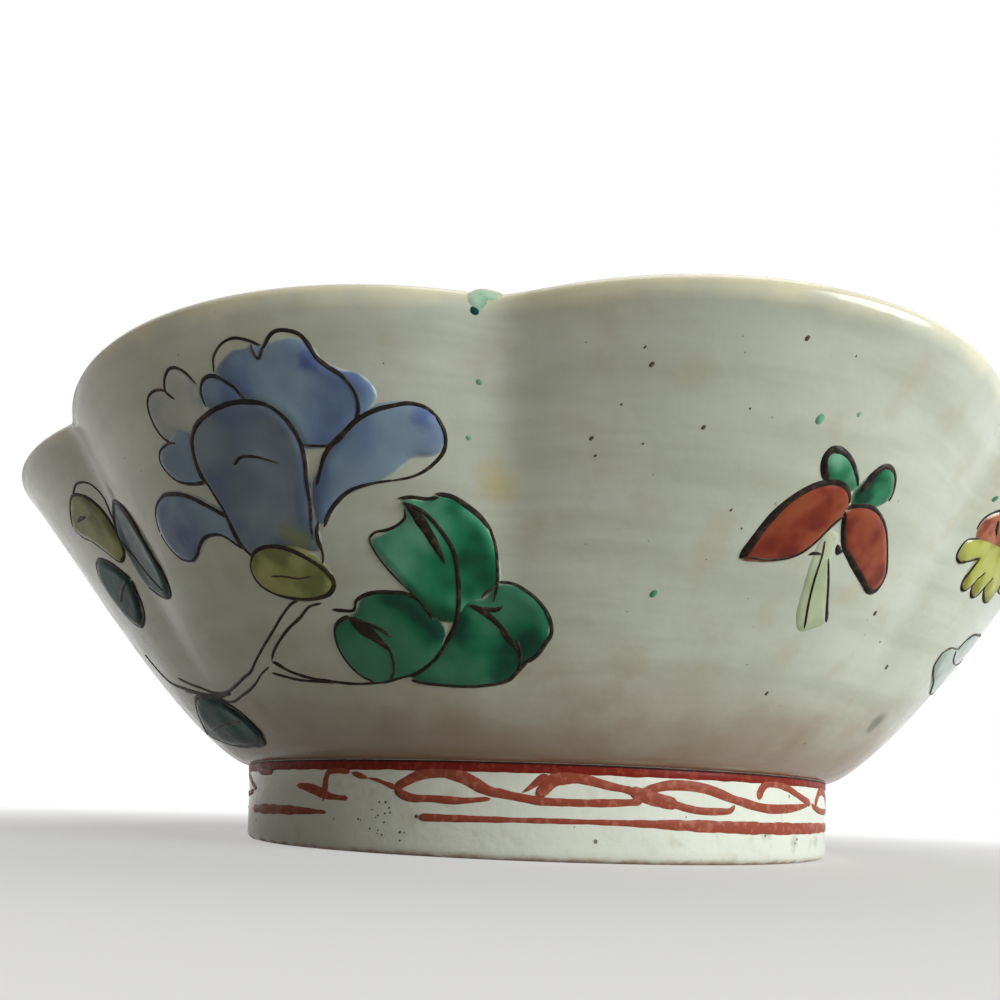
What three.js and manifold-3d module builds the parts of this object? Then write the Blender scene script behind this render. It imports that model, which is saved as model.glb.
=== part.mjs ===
// Footed bowl: a lobed porcelain body luted on a turned foot ring, painted with raised enamels.
// Millimetres, +Z up. The origin is the middle of the foot on the table, and the front faces -Y.
import * as THREE from "three";
import { mergeVertices } from "three/addons/utils/BufferGeometryUtils.js";
import Module from "manifold-3d";

const wasm = await Module();
wasm.setup();

// Bowl body
const LOBES = 8;
const HEIGHT = 41.5; // table to the top of the lip
const RIM_RADIUS = 70; // axis to the middle of a lobe, just under the lip
const CREASE_DEPTH = 4.8; // how far each crease draws in at the rim
const CREASE_FADE = 1.15; // power by which the creases die out towards the foot
const WALL_BELLY = 0.245; // fullness of the wall low down, above a straight flare
const LIP_HEIGHT = 1.6; // the rounded lip on top of the wall
const RIM_WALL = 4; // wall measured level at the rim
const FLOOR_THICKNESS = 4.5; // from the seat on the foot up to the flat of the well
const WELL_RADIUS = 38; // where the inner wall starts to rise
const BASE_HOLLOW = 0.9; // how far the underside is dished inside the foot
const HALFWAY_HOLLOW = 0.75; // share of that depth half way out, so the dish is round

// Foot ring
const FOOT_HEIGHT = 8.5;
const FOOT_TOP_RADIUS = 37.7;
const FOOT_RADIUS = 36.8; // near the table
const FOOT_TOP_WALL = 6;
const FOOT_WALL = 3.8; // near the table
const FOOT_BEVEL = 0.8; // worn edge outside the bearing face
const FOOT_INNER_BEVEL = 0.6;
const SEAT_MARGIN = 0.6; // flat of the seat that shows inside the foot's top

// Enamels: thin glass fields that lie over the glaze
const GLAZE_GAP = 0.3; // room for the glaze between the clay and an enamel
const ENAMEL_THICKNESS = 0.35;
const DRAWN_HALF_WIDTH = 25; // half a lobe, crease to middle, as the sprays were measured
const DRAWN_HEIGHT = 31.4; // wall from foot to lip, as the sprays were measured
const FIELD_STEPS = 18; // sides of a simple field's outline
const SCALLOP_STEPS = 34; // sides of the daisy's scalloped outline

// Red lines round the foot
const BAND_WIDTH = 1;
const BAND_DROP = 0.2; // below the joint with the body
const LINE_WIDTH = 1;
const LINE_HEIGHT = 3.5; // table to the middle of the broken line
const LINE_STROKES = [
  [-58, -31],
  [-14, 98],
  [104, 206],
  [213, 290],
]; // each brush stroke's start and end, in degrees to the right of the front

// Fineness
const STEPS_PER_LOBE = 8;
const WALL_ROWS = 10;
const LIP_ROWS = 6;
const ROW_CROWDING = 1.6; // rows stand closer where the wall curves away from the foot
const FOOT_STEPS = 64;

// Roughness of each finish
const GLAZE_ROUGHNESS = 0.25;
const ENAMEL_ROUGHNESS = 0.2;
const FOOT_ROUGHNESS = 0.3;

const wallTop = HEIGHT - LIP_HEIGHT;
const wellHeight = FOOT_HEIGHT + FLOOR_THICKNESS;
const footTopInner = FOOT_TOP_RADIUS - FOOT_TOP_WALL;
const lobeAngle = (2 * Math.PI) / LOBES;

const COLOURS = {
  glaze: 0xd6d6c8,
  foot: 0xd9d8cc,
  blue: 0x6a7bb0,
  paleBlue: 0xb4b9c6,
  yellowGreen: 0x9a9c4a,
  green: 0x1f7a55,
  darkGreen: 0x17483c,
  paleGreen: 0xaebd8c,
  seaGreen: 0x5f9a8c,
  red: 0x9c4030,
  orange: 0xb8583a,
  yellow: 0xc2bd45,
  footRed: 0x8f3d2e,
};

// Distance from the axis to a lobed outline of equal arcs that meet in creases.
// Azimuth 0 is the crease at the front, and it grows to the right.
function lobedRadius(azimuth, middle, creaseDepth) {
  const half = lobeAngle / 2;
  const crease = middle - creaseDepth;
  const centre = (middle ** 2 - crease ** 2) / (2 * (middle - crease * Math.cos(half)));
  const arc = middle - centre;
  const turn = (((azimuth % lobeAngle) + lobeAngle) % lobeAngle) - half;
  return centre * Math.cos(turn) + Math.sqrt(arc ** 2 - (centre * Math.sin(turn)) ** 2);
}

// Share of the way from foot to rim that the wall has gone out, at a share of its height.
function flare(share) {
  return share + WALL_BELLY * Math.sqrt(share) * (1 - share) ** 1.5;
}

function creaseAt(share) {
  return CREASE_DEPTH * share ** CREASE_FADE;
}

function outerRow(share) {
  return {
    middle: FOOT_TOP_RADIUS + (RIM_RADIUS - FOOT_TOP_RADIUS) * flare(share),
    crease: creaseAt(share),
    z: FOOT_HEIGHT + (wallTop - FOOT_HEIGHT) * share,
  };
}

function innerRow(share) {
  const rimInner = RIM_RADIUS - RIM_WALL;
  return {
    middle: WELL_RADIUS + (rimInner - WELL_RADIUS) * flare(share),
    crease: creaseAt(share),
    z: wellHeight + (wallTop - wellHeight) * share,
  };
}

function lipRow(turn) {
  const half = RIM_WALL / 2;
  return {
    middle: RIM_RADIUS - half + half * Math.cos(turn),
    crease: CREASE_DEPTH,
    z: wallTop + LIP_HEIGHT * Math.sin(turn),
  };
}

function wallShares() {
  return Array.from({ length: WALL_ROWS + 1 }, (_, i) => (i / WALL_ROWS) ** ROW_CROWDING);
}

// A closed skin through rows of lobed outlines, from a point on the axis to another.
function skin(bottomZ, rows, topZ) {
  const around = LOBES * STEPS_PER_LOBE;
  const positions = [0, 0, bottomZ];
  for (const row of rows) {
    for (let i = 0; i < around; i++) {
      const azimuth = (i / around) * 2 * Math.PI;
      const radius = lobedRadius(azimuth, row.middle, row.crease) + (row.offset ?? 0);
      positions.push(radius * Math.sin(azimuth), -radius * Math.cos(azimuth), row.z);
    }
  }
  positions.push(0, 0, topZ);
  const at = (row, i) => 1 + row * around + (i % around);
  const last = rows.length - 1;
  const apex = 1 + rows.length * around;
  const faces = [];
  for (let i = 0; i < around; i++) {
    faces.push(0, at(0, i + 1), at(0, i));
    for (let row = 0; row < last; row++) {
      faces.push(at(row, i), at(row, i + 1), at(row + 1, i + 1));
      faces.push(at(row, i), at(row + 1, i + 1), at(row + 1, i));
    }
    faces.push(at(last, i), at(last, i + 1), apex);
  }
  const geometry = new THREE.BufferGeometry();
  geometry.setAttribute("position", new THREE.Float32BufferAttribute(positions, 3));
  geometry.setIndex(faces);
  return geometry;
}

function solidOf(geometry) {
  const bare = geometry.clone();
  bare.deleteAttribute("normal");
  bare.deleteAttribute("uv");
  const merged = mergeVertices(bare, 1e-4);
  return new wasm.Manifold(
    new wasm.Mesh({
      numProp: 3,
      vertProperties: new Float32Array(merged.attributes.position.array),
      triVerts: new Uint32Array(merged.index.array),
    }),
  );
}

function geometryOf(solid) {
  const mesh = solid.getMesh();
  const geometry = new THREE.BufferGeometry();
  geometry.setAttribute("position", new THREE.BufferAttribute(mesh.vertProperties, 3));
  geometry.setIndex(new THREE.BufferAttribute(mesh.triVerts, 1));
  return geometry;
}

const bowl = new THREE.Group();

function addMesh(name, geometry, colour, roughness) {
  geometry.computeVertexNormals();
  const material = new THREE.MeshStandardMaterial({
    color: COLOURS[colour],
    roughness,
    metalness: 0,
    flatShading: true,
  });
  const mesh = new THREE.Mesh(geometry, material);
  mesh.name = name;
  bowl.add(mesh);
}

// Bowl body: dished base, flat seat, lobed wall, round lip, lobed inside and flat well
function bowlBody() {
  const hollowEdge = footTopInner - SEAT_MARGIN;
  const hollowMiddle = hollowEdge / 2;
  const base = [
    { middle: hollowMiddle, crease: 0, z: FOOT_HEIGHT + HALFWAY_HOLLOW * BASE_HOLLOW },
    { middle: hollowEdge, crease: 0, z: FOOT_HEIGHT },
  ];
  const outside = wallShares().map(outerRow);
  const lip = [];
  for (let i = 1; i < LIP_ROWS; i++) {
    lip.push(lipRow((i / LIP_ROWS) * Math.PI));
  }
  const inside = wallShares().reverse().map(innerRow);
  return skin(FOOT_HEIGHT + BASE_HOLLOW, [...base, ...outside, ...lip, ...inside], wellHeight);
}

// Foot ring: tapered outside, with a narrow bearing face between two worn edges
function footOuter(z) {
  const share = (z - FOOT_BEVEL) / (FOOT_HEIGHT - FOOT_BEVEL);
  return FOOT_RADIUS + (FOOT_TOP_RADIUS - FOOT_RADIUS) * share;
}

function lathe(profile) {
  const points = [...profile, profile[0]].map(([radius, z]) => new THREE.Vector2(radius, z));
  const geometry = new THREE.LatheGeometry(points, FOOT_STEPS);
  geometry.rotateX(Math.PI / 2);
  return geometry;
}

function footRing() {
  const inner = FOOT_RADIUS - FOOT_WALL;
  return lathe([
    [FOOT_RADIUS - FOOT_BEVEL, 0],
    [FOOT_RADIUS, FOOT_BEVEL],
    [FOOT_TOP_RADIUS, FOOT_HEIGHT],
    [footTopInner, FOOT_HEIGHT],
    [inner, FOOT_INNER_BEVEL],
    [inner + FOOT_INNER_BEVEL, 0],
  ]);
}

// The red band under the joint goes all round, and the line below it is four brush strokes
function footBand() {
  const top = FOOT_HEIGHT - BAND_DROP;
  const bottom = top - BAND_WIDTH;
  return lathe([
    [footOuter(bottom) + GLAZE_GAP, bottom],
    [footOuter(bottom) + GLAZE_GAP + ENAMEL_THICKNESS, bottom],
    [footOuter(top) + GLAZE_GAP + ENAMEL_THICKNESS, top],
    [footOuter(top) + GLAZE_GAP, top],
  ]);
}

function footStroke([start, end]) {
  const front = -Math.PI / 2;
  const from = front + THREE.MathUtils.degToRad(start);
  const to = front + THREE.MathUtils.degToRad(end);
  const top = LINE_HEIGHT + LINE_WIDTH / 2;
  const bottom = top - LINE_WIDTH;
  const inner = Math.max(footOuter(top), footOuter(bottom)) + GLAZE_GAP;
  const shape = new THREE.Shape();
  shape.absarc(0, 0, inner + ENAMEL_THICKNESS, from, to, false);
  shape.absarc(0, 0, inner, to, from, true);
  const curveSegments = Math.ceil((FOOT_STEPS * (end - start)) / 360);
  const geometry = new THREE.ExtrudeGeometry(shape, {
    depth: LINE_WIDTH,
    bevelEnabled: false,
    curveSegments,
  });
  geometry.translate(0, 0, bottom);
  return geometry;
}

// The sprays are drawn on a lobe seen square on: x across from its middle, y up from the foot.
// A field is its colour and its outline, and fields that share a brushed line stop short of it.
function ellipse(x, y, halfWidth, halfHeight, tiltDegrees) {
  const tilt = THREE.MathUtils.degToRad(tiltDegrees);
  const curve = new THREE.EllipseCurve(x, y, halfWidth, halfHeight, 0, 2 * Math.PI, false, tilt);
  const points = curve.getPoints(FIELD_STEPS / 2);
  points.pop();
  return points.map((point) => [point.x, point.y]);
}

const PEONY = {
  front_petal: ["blue", [
    [-1.2, 16.6], [-2.3, 19], [-2.8, 21.5], [-2.7, 23.4], [-1.9, 24.6], [0, 25.3], [2.3, 25.6],
    [4.6, 25.3], [6.4, 24.4], [7.1, 22.8], [6.8, 20.4], [5.9, 17.8], [5.2, 15.8], [2.6, 16.5],
  ]],
  top_petal: ["blue", [
    [3.4, 27.4], [3, 28.2], [3.8, 28.9], [5, 29.2], [6.1, 28.8], [6.8, 28], [7.6, 28.9],
    [9, 29.4], [10.3, 29.1], [11.4, 27.4], [12.9, 25.8], [12.3, 23.8], [9.5, 22.5],
    [7.8, 22.6], [7.6, 23.9], [6.8, 25], [5.4, 25.8], [4.2, 26.2],
  ]],
  small_petal: ["blue", [[0.4, 26], [0.4, 26.7], [1.1, 27.3], [2.4, 27.2], [3.3, 26.6], [2.2, 26.1]]],
  pale_petal: ["paleBlue", [
    [-0.3, 25.9], [-0.4, 27.5], [-2.1, 28.5], [-3.4, 27.3], [-5.4, 27.6], [-6.8, 26.4],
    [-5.8, 24.7], [-3.3, 24.4], [-2.3, 25.1],
  ]],
  left_petal: ["blue", [
    [-3.5, 23.6], [-6.2, 24], [-7.9, 23.1], [-6.3, 21.8], [-3.4, 21.6], [-3.3, 22.6],
  ]],
  lower_petal: ["blue", [
    [-2.9, 18.9], [-6.2, 20.9], [-8.8, 21.3], [-11.6, 20.7], [-12.8, 19.2], [-11.8, 17.2],
    [-9.4, 16.6], [-6.7, 17.5], [-4.2, 17.4], [-2.3, 16.8],
  ]],
  right_petal: ["blue", [
    [7.7, 19.8], [8.8, 21.2], [11.4, 22.5], [14.7, 24.1], [17.2, 24.5], [18.5, 23.3],
    [17.2, 21.2], [14.3, 20], [10.3, 19.5], [7.2, 17.4],
  ]],
  calyx: ["yellowGreen", ellipse(1.8, 14.2, 3.9, 1.8, -8)],
  upper_leaf: ["green", [
    [10.5, 16.1], [13.2, 17.1], [14.2, 17.9], [13.8, 18.6], [15.2, 18.7], [16.9, 19.1],
    [18.6, 18.4], [19.5, 16.4], [19, 13.9], [17.8, 12.9], [16.2, 12.3], [14.2, 10.6], [12.2, 13],
  ]],
  rolled_leaf: ["green", [
    [3.9, 8.9], [4.6, 10.3], [7.5, 11.7], [9.6, 12.2], [11.6, 11.9], [13.3, 10.1],
    [12.3, 8.3], [9.6, 7], [6.3, 6.2], [4.5, 7],
  ]],
  right_leaf: ["green", [
    [16.3, 11.6], [15.3, 9.9], [13.8, 8], [10.2, 6.2], [13.8, 5.8], [17.2, 6.1], [19.3, 7.7],
    [21.6, 9.4], [22, 11.4], [20.2, 13], [18.4, 12.2],
  ]],
};

const SPRIG = {
  left_petal: ["red", [
    [-2.2, 15.5], [-0.5, 18.6], [2.9, 20.8], [5.2, 20.6], [5.3, 18.9], [2.8, 16.3], [-0.4, 15.4],
  ]],
  right_petal: ["red", [
    [6.3, 19.6], [8.7, 20.1], [12, 18.6], [13.7, 16.1], [13, 15], [8.8, 16.8],
  ]],
  left_leaf: ["green", [[2, 22.3], [2.9, 21.6], [5.5, 21.4], [4.9, 22.4], [2.7, 23]]],
  right_leaf: ["green", [[6.6, 20.8], [7.6, 22.4], [9.4, 23], [10.3, 21.6], [8.6, 20.6]]],
  stem: ["paleGreen", [
    [5.3, 18.1], [6, 17.3], [6.8, 15.4], [7.4, 13.4], [6.8, 12.3], [5.6, 12.8], [4.9, 14.6],
    [4.6, 16.4],
  ]],
};

const BUD = {
  bud: ["yellowGreen", [
    [12.6, 23.7], [14.9, 25.5], [16.7, 26.2], [18.7, 25.4], [19.4, 22.6], [17.3, 19.4],
    [14.6, 22],
  ]],
  right_leaf: ["darkGreen", [
    [20.3, 21.6], [22.4, 23.3], [24.4, 23.2], [25.9, 22], [25, 16.4], [22.5, 15], [19.4, 16.6],
    [19.5, 19.2],
  ]],
  left_leaf: ["darkGreen", [
    [16.6, 17.5], [15, 19.2], [12.6, 20], [10.2, 18.8], [10.3, 14.9], [12.2, 13.9], [15, 15.2],
  ]],
  low_leaf: ["darkGreen", [
    [15.6, 4], [14.4, 5.4], [11.6, 5.9], [8, 4.9], [3.4, 3.2], [7.5, 2.1], [13.6, 2.2],
  ]],
};

const DAISY = {
  petals: ["yellow", [
    [-19.5, 21.2], [-18.6, 20], [-16.6, 20.8], [-16.2, 19], [-15, 18.1], [-13.5, 19.7],
    [-12.9, 18.3], [-11.8, 18], [-10.4, 19.6], [-9.4, 18.6], [-7.8, 18.6], [-7.6, 20.1],
    [-5.2, 20.1], [-4.6, 21.5], [-9, 22], [-17, 22.1],
  ], SCALLOP_STEPS],
  heart: ["orange", ellipse(-12.6, 24, 6, 1.4, 0)],
  leaf: ["seaGreen", [
    [-9.5, 12.2], [-8.5, 13.3], [-5.4, 14], [4, 16.6], [8.2, 16.8], [8, 13.1], [4, 10.7],
    [-1.2, 9.9], [-7.8, 11.1],
  ]],
};

// From the left of the front to the right, and the same again round the back
const SPRAYS = [
  ["bud", BUD],
  ["peony", PEONY],
  ["sprig", SPRIG],
  ["daisy", DAISY],
];

// The wall's outside moved out by an offset and run past the wall's ends by a reach
function wallSkin(offset, reach) {
  const rows = wallShares().map((share) => ({ ...outerRow(share), offset }));
  const below = { ...rows[0], z: rows[0].z - reach };
  const above = { ...rows.at(-1), z: wallTop + reach };
  return skin(below.z, [below, ...rows, above], above.z);
}

function enamelCoat() {
  const top = solidOf(wallSkin(GLAZE_GAP + ENAMEL_THICKNESS, 1));
  return top.subtract(solidOf(wallSkin(GLAZE_GAP, 2)));
}

// A field is its outline, carried straight in to the lobe and cut out of the enamel coat
function enamelField(coat, outline, steps, azimuth) {
  const halfWidth = (RIM_RADIUS - CREASE_DEPTH) * Math.sin(lobeAngle / 2);
  const wide = halfWidth / DRAWN_HALF_WIDTH;
  const high = (wallTop - FOOT_HEIGHT) / DRAWN_HEIGHT;
  const points = outline.map(([x, y]) => new THREE.Vector3(x * wide, FOOT_HEIGHT + y * high, 0));
  const curve = new THREE.CatmullRomCurve3(points, true, "centripetal");
  const shape = new THREE.Shape(curve.getSpacedPoints(steps).slice(0, -1));
  const start = FOOT_TOP_RADIUS / 2;
  const block = new THREE.ExtrudeGeometry(shape, { depth: RIM_RADIUS, bevelEnabled: false });
  block.translate(0, 0, start);
  const side = new THREE.Vector3(Math.cos(azimuth), Math.sin(azimuth), 0);
  const out = new THREE.Vector3(Math.sin(azimuth), -Math.cos(azimuth), 0);
  block.applyMatrix4(new THREE.Matrix4().makeBasis(side, new THREE.Vector3(0, 0, 1), out));
  return geometryOf(solidOf(block).intersect(coat));
}

function addSprays() {
  const coat = enamelCoat();
  for (let lobe = 0; lobe < LOBES; lobe++) {
    const [name, fields] = SPRAYS[lobe % SPRAYS.length];
    const copy = Math.floor(lobe / SPRAYS.length) + 1;
    const azimuth = (lobe + 0.5 - SPRAYS.length / 2) * lobeAngle;
    for (const [field, [colour, outline, steps = FIELD_STEPS]] of Object.entries(fields)) {
      const geometry = enamelField(coat, outline, steps, azimuth);
      addMesh(`${name}_${copy}_${field}`, geometry, colour, ENAMEL_ROUGHNESS);
    }
  }
}

addMesh("bowl_body", bowlBody(), "glaze", GLAZE_ROUGHNESS);
addMesh("foot_ring", footRing(), "foot", FOOT_ROUGHNESS);
addMesh("foot_band", footBand(), "footRed", FOOT_ROUGHNESS);
LINE_STROKES.forEach((stroke, i) => {
  addMesh(`foot_line_${i + 1}`, footStroke(stroke), "footRed", FOOT_ROUGHNESS);
});
addSprays();

export default bowl;
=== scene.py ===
# Footed bowl: a lobed porcelain bowl on a foot ring, under a grey-green glaze, with raised enamels
# and brushwork. Everything is drawn in millimetres and turned into metres where a mesh is made.
import math
from functools import partial

import bpy
import numpy as np
from mathutils import Matrix, Vector
from mathutils.geometry import delaunay_2d_cdt


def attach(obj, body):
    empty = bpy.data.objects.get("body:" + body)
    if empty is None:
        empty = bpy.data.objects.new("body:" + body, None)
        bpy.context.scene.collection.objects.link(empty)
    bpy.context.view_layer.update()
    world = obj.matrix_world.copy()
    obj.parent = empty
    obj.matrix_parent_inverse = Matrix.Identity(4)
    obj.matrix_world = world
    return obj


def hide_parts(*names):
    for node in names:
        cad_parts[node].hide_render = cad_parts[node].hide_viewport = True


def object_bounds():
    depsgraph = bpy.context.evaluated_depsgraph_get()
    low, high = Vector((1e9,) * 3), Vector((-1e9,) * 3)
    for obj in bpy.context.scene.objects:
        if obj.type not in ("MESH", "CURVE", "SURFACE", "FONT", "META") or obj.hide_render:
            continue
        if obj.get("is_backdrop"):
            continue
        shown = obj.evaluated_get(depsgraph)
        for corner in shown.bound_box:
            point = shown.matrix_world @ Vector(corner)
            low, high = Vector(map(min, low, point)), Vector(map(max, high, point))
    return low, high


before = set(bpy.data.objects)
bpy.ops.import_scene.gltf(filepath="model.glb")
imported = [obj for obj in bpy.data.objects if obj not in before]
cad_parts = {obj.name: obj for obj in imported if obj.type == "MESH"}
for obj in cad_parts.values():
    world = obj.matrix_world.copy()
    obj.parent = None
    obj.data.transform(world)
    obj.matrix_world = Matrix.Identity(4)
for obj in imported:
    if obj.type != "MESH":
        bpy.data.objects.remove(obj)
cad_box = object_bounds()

MM = 0.001

# Bowl body, as in the CAD model
LOBES = 8
HEIGHT = 41.5
RIM_RADIUS = 70
CREASE_DEPTH = 4.8
CREASE_FADE = 1.15
WALL_BELLY = 0.245
LIP_HEIGHT = 1.6
RIM_WALL = 4
FLOOR_THICKNESS = 4.5
WELL_RADIUS = 38
BASE_HOLLOW = 0.9

# Foot ring, as in the CAD model
FOOT_HEIGHT = 8.5
FOOT_TOP_RADIUS = 37.7
FOOT_RADIUS = 36.8
FOOT_TOP_WALL = 6
FOOT_WALL = 3.8
FOOT_BEVEL = 0.8
FOOT_INNER_BEVEL = 0.6

# What the glaze and the making add to those shapes
GLAZE = 0.3  # coat of glaze, which thins out towards the lip
FOOT_GLAZE = 0.12  # coat of glaze outside the foot
CREASE_EASE = 0.022  # radians over which the glaze rounds a crease
WOBBLE = 0.3  # unevenness of the wall
FOOT_WOBBLE = 0.12  # and of the foot
DIP = 0.35  # how far the lip dips below its highest place
JOINT_FILLET = 0.3  # glaze gathered where the foot meets the wall

# Enamels and brushwork
ENAMEL = 0.24  # thickness of an enamel
WASH = 0.1  # thickness of a thin wash
WASHES = ("pale_green", "pale_blue", "sea_green")
DROP = 0.12  # height of a fallen drop or speck
ENAMEL_EDGE = 0.3  # how quickly an enamel rises from its edge
ENAMEL_RIM = 0.12  # a row of points follows its edge this far inside
ENAMEL_RIM_CLEAR = 0.09  # and leaves out those that lie nearer to the edge than this
ENAMEL_GRID = 0.34  # spacing of the points further inside
ENAMEL_GRID_CLEAR = 0.26  # and how far they keep from the edge
ENAMEL_SPREAD = 0.26  # how far an enamel runs past its drawn outline, under the brushed line
SUNK = 0.04  # edges of enamels and strokes lie this far under the glaze
SUNK_REACH = 0.05  # and how quickly an enamel comes out from under it
GATHERED = 0.25  # share by which glass is thicker where it gathered inside the edge
GATHERED_PLACE = 0.7
GATHERED_REACH = 0.5
STROKE_HEIGHT = 0.07
STROKE_STEP = 0.22  # spacing of the points along a stroke or an outline
STROKE_SHOWN = 0.9  # share of a stroke's width that rises above the glaze
STROKE_WOBBLE = 0.16
STROKE_TIP = 0.08  # square of the share of its width that a stroke has at its very ends
STROKE_TAPER = 0.45  # length over which it comes to its full width
STROKE_PROFILE = [(-1, 0), (-0.62, 0.75), (0, 1), (0.62, 0.75), (1, 0)]  # across, and height

# Fineness of the body and the foot
AROUND_LOBE = 44
WALL_ROWS = 56
LIP_ROWS = 12
WELL_ROWS = 6
ROW_CROWDING = 1.6  # rows stand closer low on the wall
AROUND_FOOT = 240
FOOT_ROWS = 24

LOBE_ANGLE = 2 * math.pi / LOBES
WALL_TOP = HEIGHT - LIP_HEIGHT
WELL_HEIGHT = FOOT_HEIGHT + FLOOR_THICKNESS


# Shape of the bowl

def ripple(a, b, seed):
    """A smooth uneven value from -1 to 1 over two coordinates, with waves about 6 units long."""
    rng = np.random.default_rng(seed)
    total = 0
    for _ in range(5):
        heading, phase = rng.uniform(0, 2 * math.pi, 2)
        pitch = rng.uniform(0.6, 1.6)
        total = total + np.sin(pitch * (a * math.cos(heading) + b * math.sin(heading)) + phase)
    return total / 5


def lobed_radius(azimuth, middle, crease_depth):
    """Distance from the axis to equal arcs that meet in creases. Azimuth 0 is the front crease."""
    half = LOBE_ANGLE / 2
    crease = middle - crease_depth
    centre = (middle**2 - crease**2) / (2 * (middle - crease * math.cos(half)))
    arc = middle - centre
    from_crease = np.mod(azimuth + half, LOBE_ANGLE) - half
    turn = half - np.sqrt(from_crease**2 + CREASE_EASE**2)
    return centre * np.cos(turn) + np.sqrt(arc**2 - (centre * np.sin(turn)) ** 2)


def flare(share):
    return share + WALL_BELLY * np.sqrt(share) * (1 - share) ** 1.5


def wobble(azimuth, share):
    """Unevenness of a thrown and pressed wall, nought at the foot and never past the CAD wall."""
    around = ripple(5 * np.sin(azimuth), 5 * np.cos(azimuth), 7)
    return WOBBLE * share * (around - 1) / 2


def rim_dip(azimuth):
    return DIP * (1 + ripple(4 * np.sin(azimuth), 4 * np.cos(azimuth), 11)) / 2


def wall_radius(azimuth, z):
    """Outside of the glazed wall."""
    share = np.clip((z - FOOT_HEIGHT) / (WALL_TOP - FOOT_HEIGHT), 0, 1)
    middle = FOOT_TOP_RADIUS + (RIM_RADIUS - FOOT_TOP_RADIUS) * flare(share)
    radius = lobed_radius(azimuth, middle, CREASE_DEPTH * share**CREASE_FADE)
    return radius + GLAZE * (1 - share**4) + wobble(azimuth, share)


def inner_radius(azimuth, z):
    share = np.clip((z - WELL_HEIGHT) / (WALL_TOP - WELL_HEIGHT), 0, 1)
    middle = WELL_RADIUS + (RIM_RADIUS - RIM_WALL - WELL_RADIUS) * flare(share)
    radius = lobed_radius(azimuth, middle, CREASE_DEPTH * share**CREASE_FADE)
    return radius + wobble(azimuth, share)


def foot_radius(azimuth, z):
    """Outside of the glazed foot, which is a little uneven between its edge and its joint."""
    share = (z - FOOT_BEVEL) / (FOOT_HEIGHT - FOOT_BEVEL)
    uneven = FOOT_WOBBLE * ripple(6 * np.sin(azimuth), 6 * np.cos(azimuth) + z / 4, 5)
    uneven = uneven * np.clip(z / FOOT_BEVEL, 0, 1) * np.clip((FOOT_HEIGHT - z) / 2, 0, 1)
    return FOOT_RADIUS + (FOOT_TOP_RADIUS - FOOT_RADIUS) * share + FOOT_GLAZE + uneven


def around_axis(azimuth, radius, z):
    x, y = radius * np.sin(azimuth), -radius * np.cos(azimuth)
    return np.stack([x, y, z + 0 * azimuth], -1)


def wall_place(azimuth, z, radius_at=wall_radius):
    """A point of the wall at a height, which sinks a little where the lip dips."""
    share = np.clip((z - FOOT_HEIGHT) / (WALL_TOP - FOOT_HEIGHT), 0, 1)
    return around_axis(azimuth, radius_at(azimuth, z), z - rim_dip(azimuth) * share**3)


def on_wall(azimuth, z, lift):
    """Points at a height over the glazed wall, measured square to it."""
    turn, rise = 1e-3, 0.05  # small steps round the wall and up it
    base = wall_place(azimuth, z)
    aside = wall_place(azimuth + turn, z) - base
    above = wall_place(azimuth, z + rise) - base
    normal = np.cross(aside, above)
    normal /= np.linalg.norm(normal, axis=-1, keepdims=True)
    return base + normal * np.asarray(lift)[..., None]


def on_lobe(middle, across, up, lift):
    """Points over a lobe, drawn as if seen square on: across from its middle and up from the foot."""
    z = FOOT_HEIGHT + up
    turn = 0 * across
    for _ in range(8):  # each pass comes closer to the turn that lies so far across
        turn = np.arcsin(np.clip(across / wall_radius(middle + turn, z), -1, 1))
    return on_wall(middle + turn, z, lift)


def on_foot(across, up, lift):
    """Points over the foot: across is the way round it from the front, and up is from the table."""
    azimuth = across / FOOT_RADIUS
    return around_axis(azimuth, foot_radius(azimuth, up) + lift, up)


# Meshes

def add_piece(name, points, faces, material, slot, nodes=(), **values):
    """A smooth mesh in metres, with named values at its points for its material."""
    mesh = bpy.data.meshes.new(name)
    mesh.from_pydata((np.asarray(points) * MM).tolist(), [], faces)
    for key, numbers in values.items():
        layer = mesh.attributes.new(key, "FLOAT", "POINT")
        layer.data.foreach_set("value", np.asarray(numbers, np.float32))
    mesh.shade_smooth()
    mesh.materials.append(material)
    piece = bpy.data.objects.new(name, mesh)
    bpy.context.scene.collection.objects.link(piece)
    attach(piece, "root")
    if nodes:
        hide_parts(*nodes)


def band_faces(rows, around):
    """Quads between rows of points that go all the way round, from the bottom row up."""
    faces = []
    for row in range(rows - 1):
        for i in range(around):
            j = (i + 1) % around
            low, high = row * around, (row + 1) * around
            faces.append((low + i, low + j, high + j, high + i))
    return faces


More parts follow.
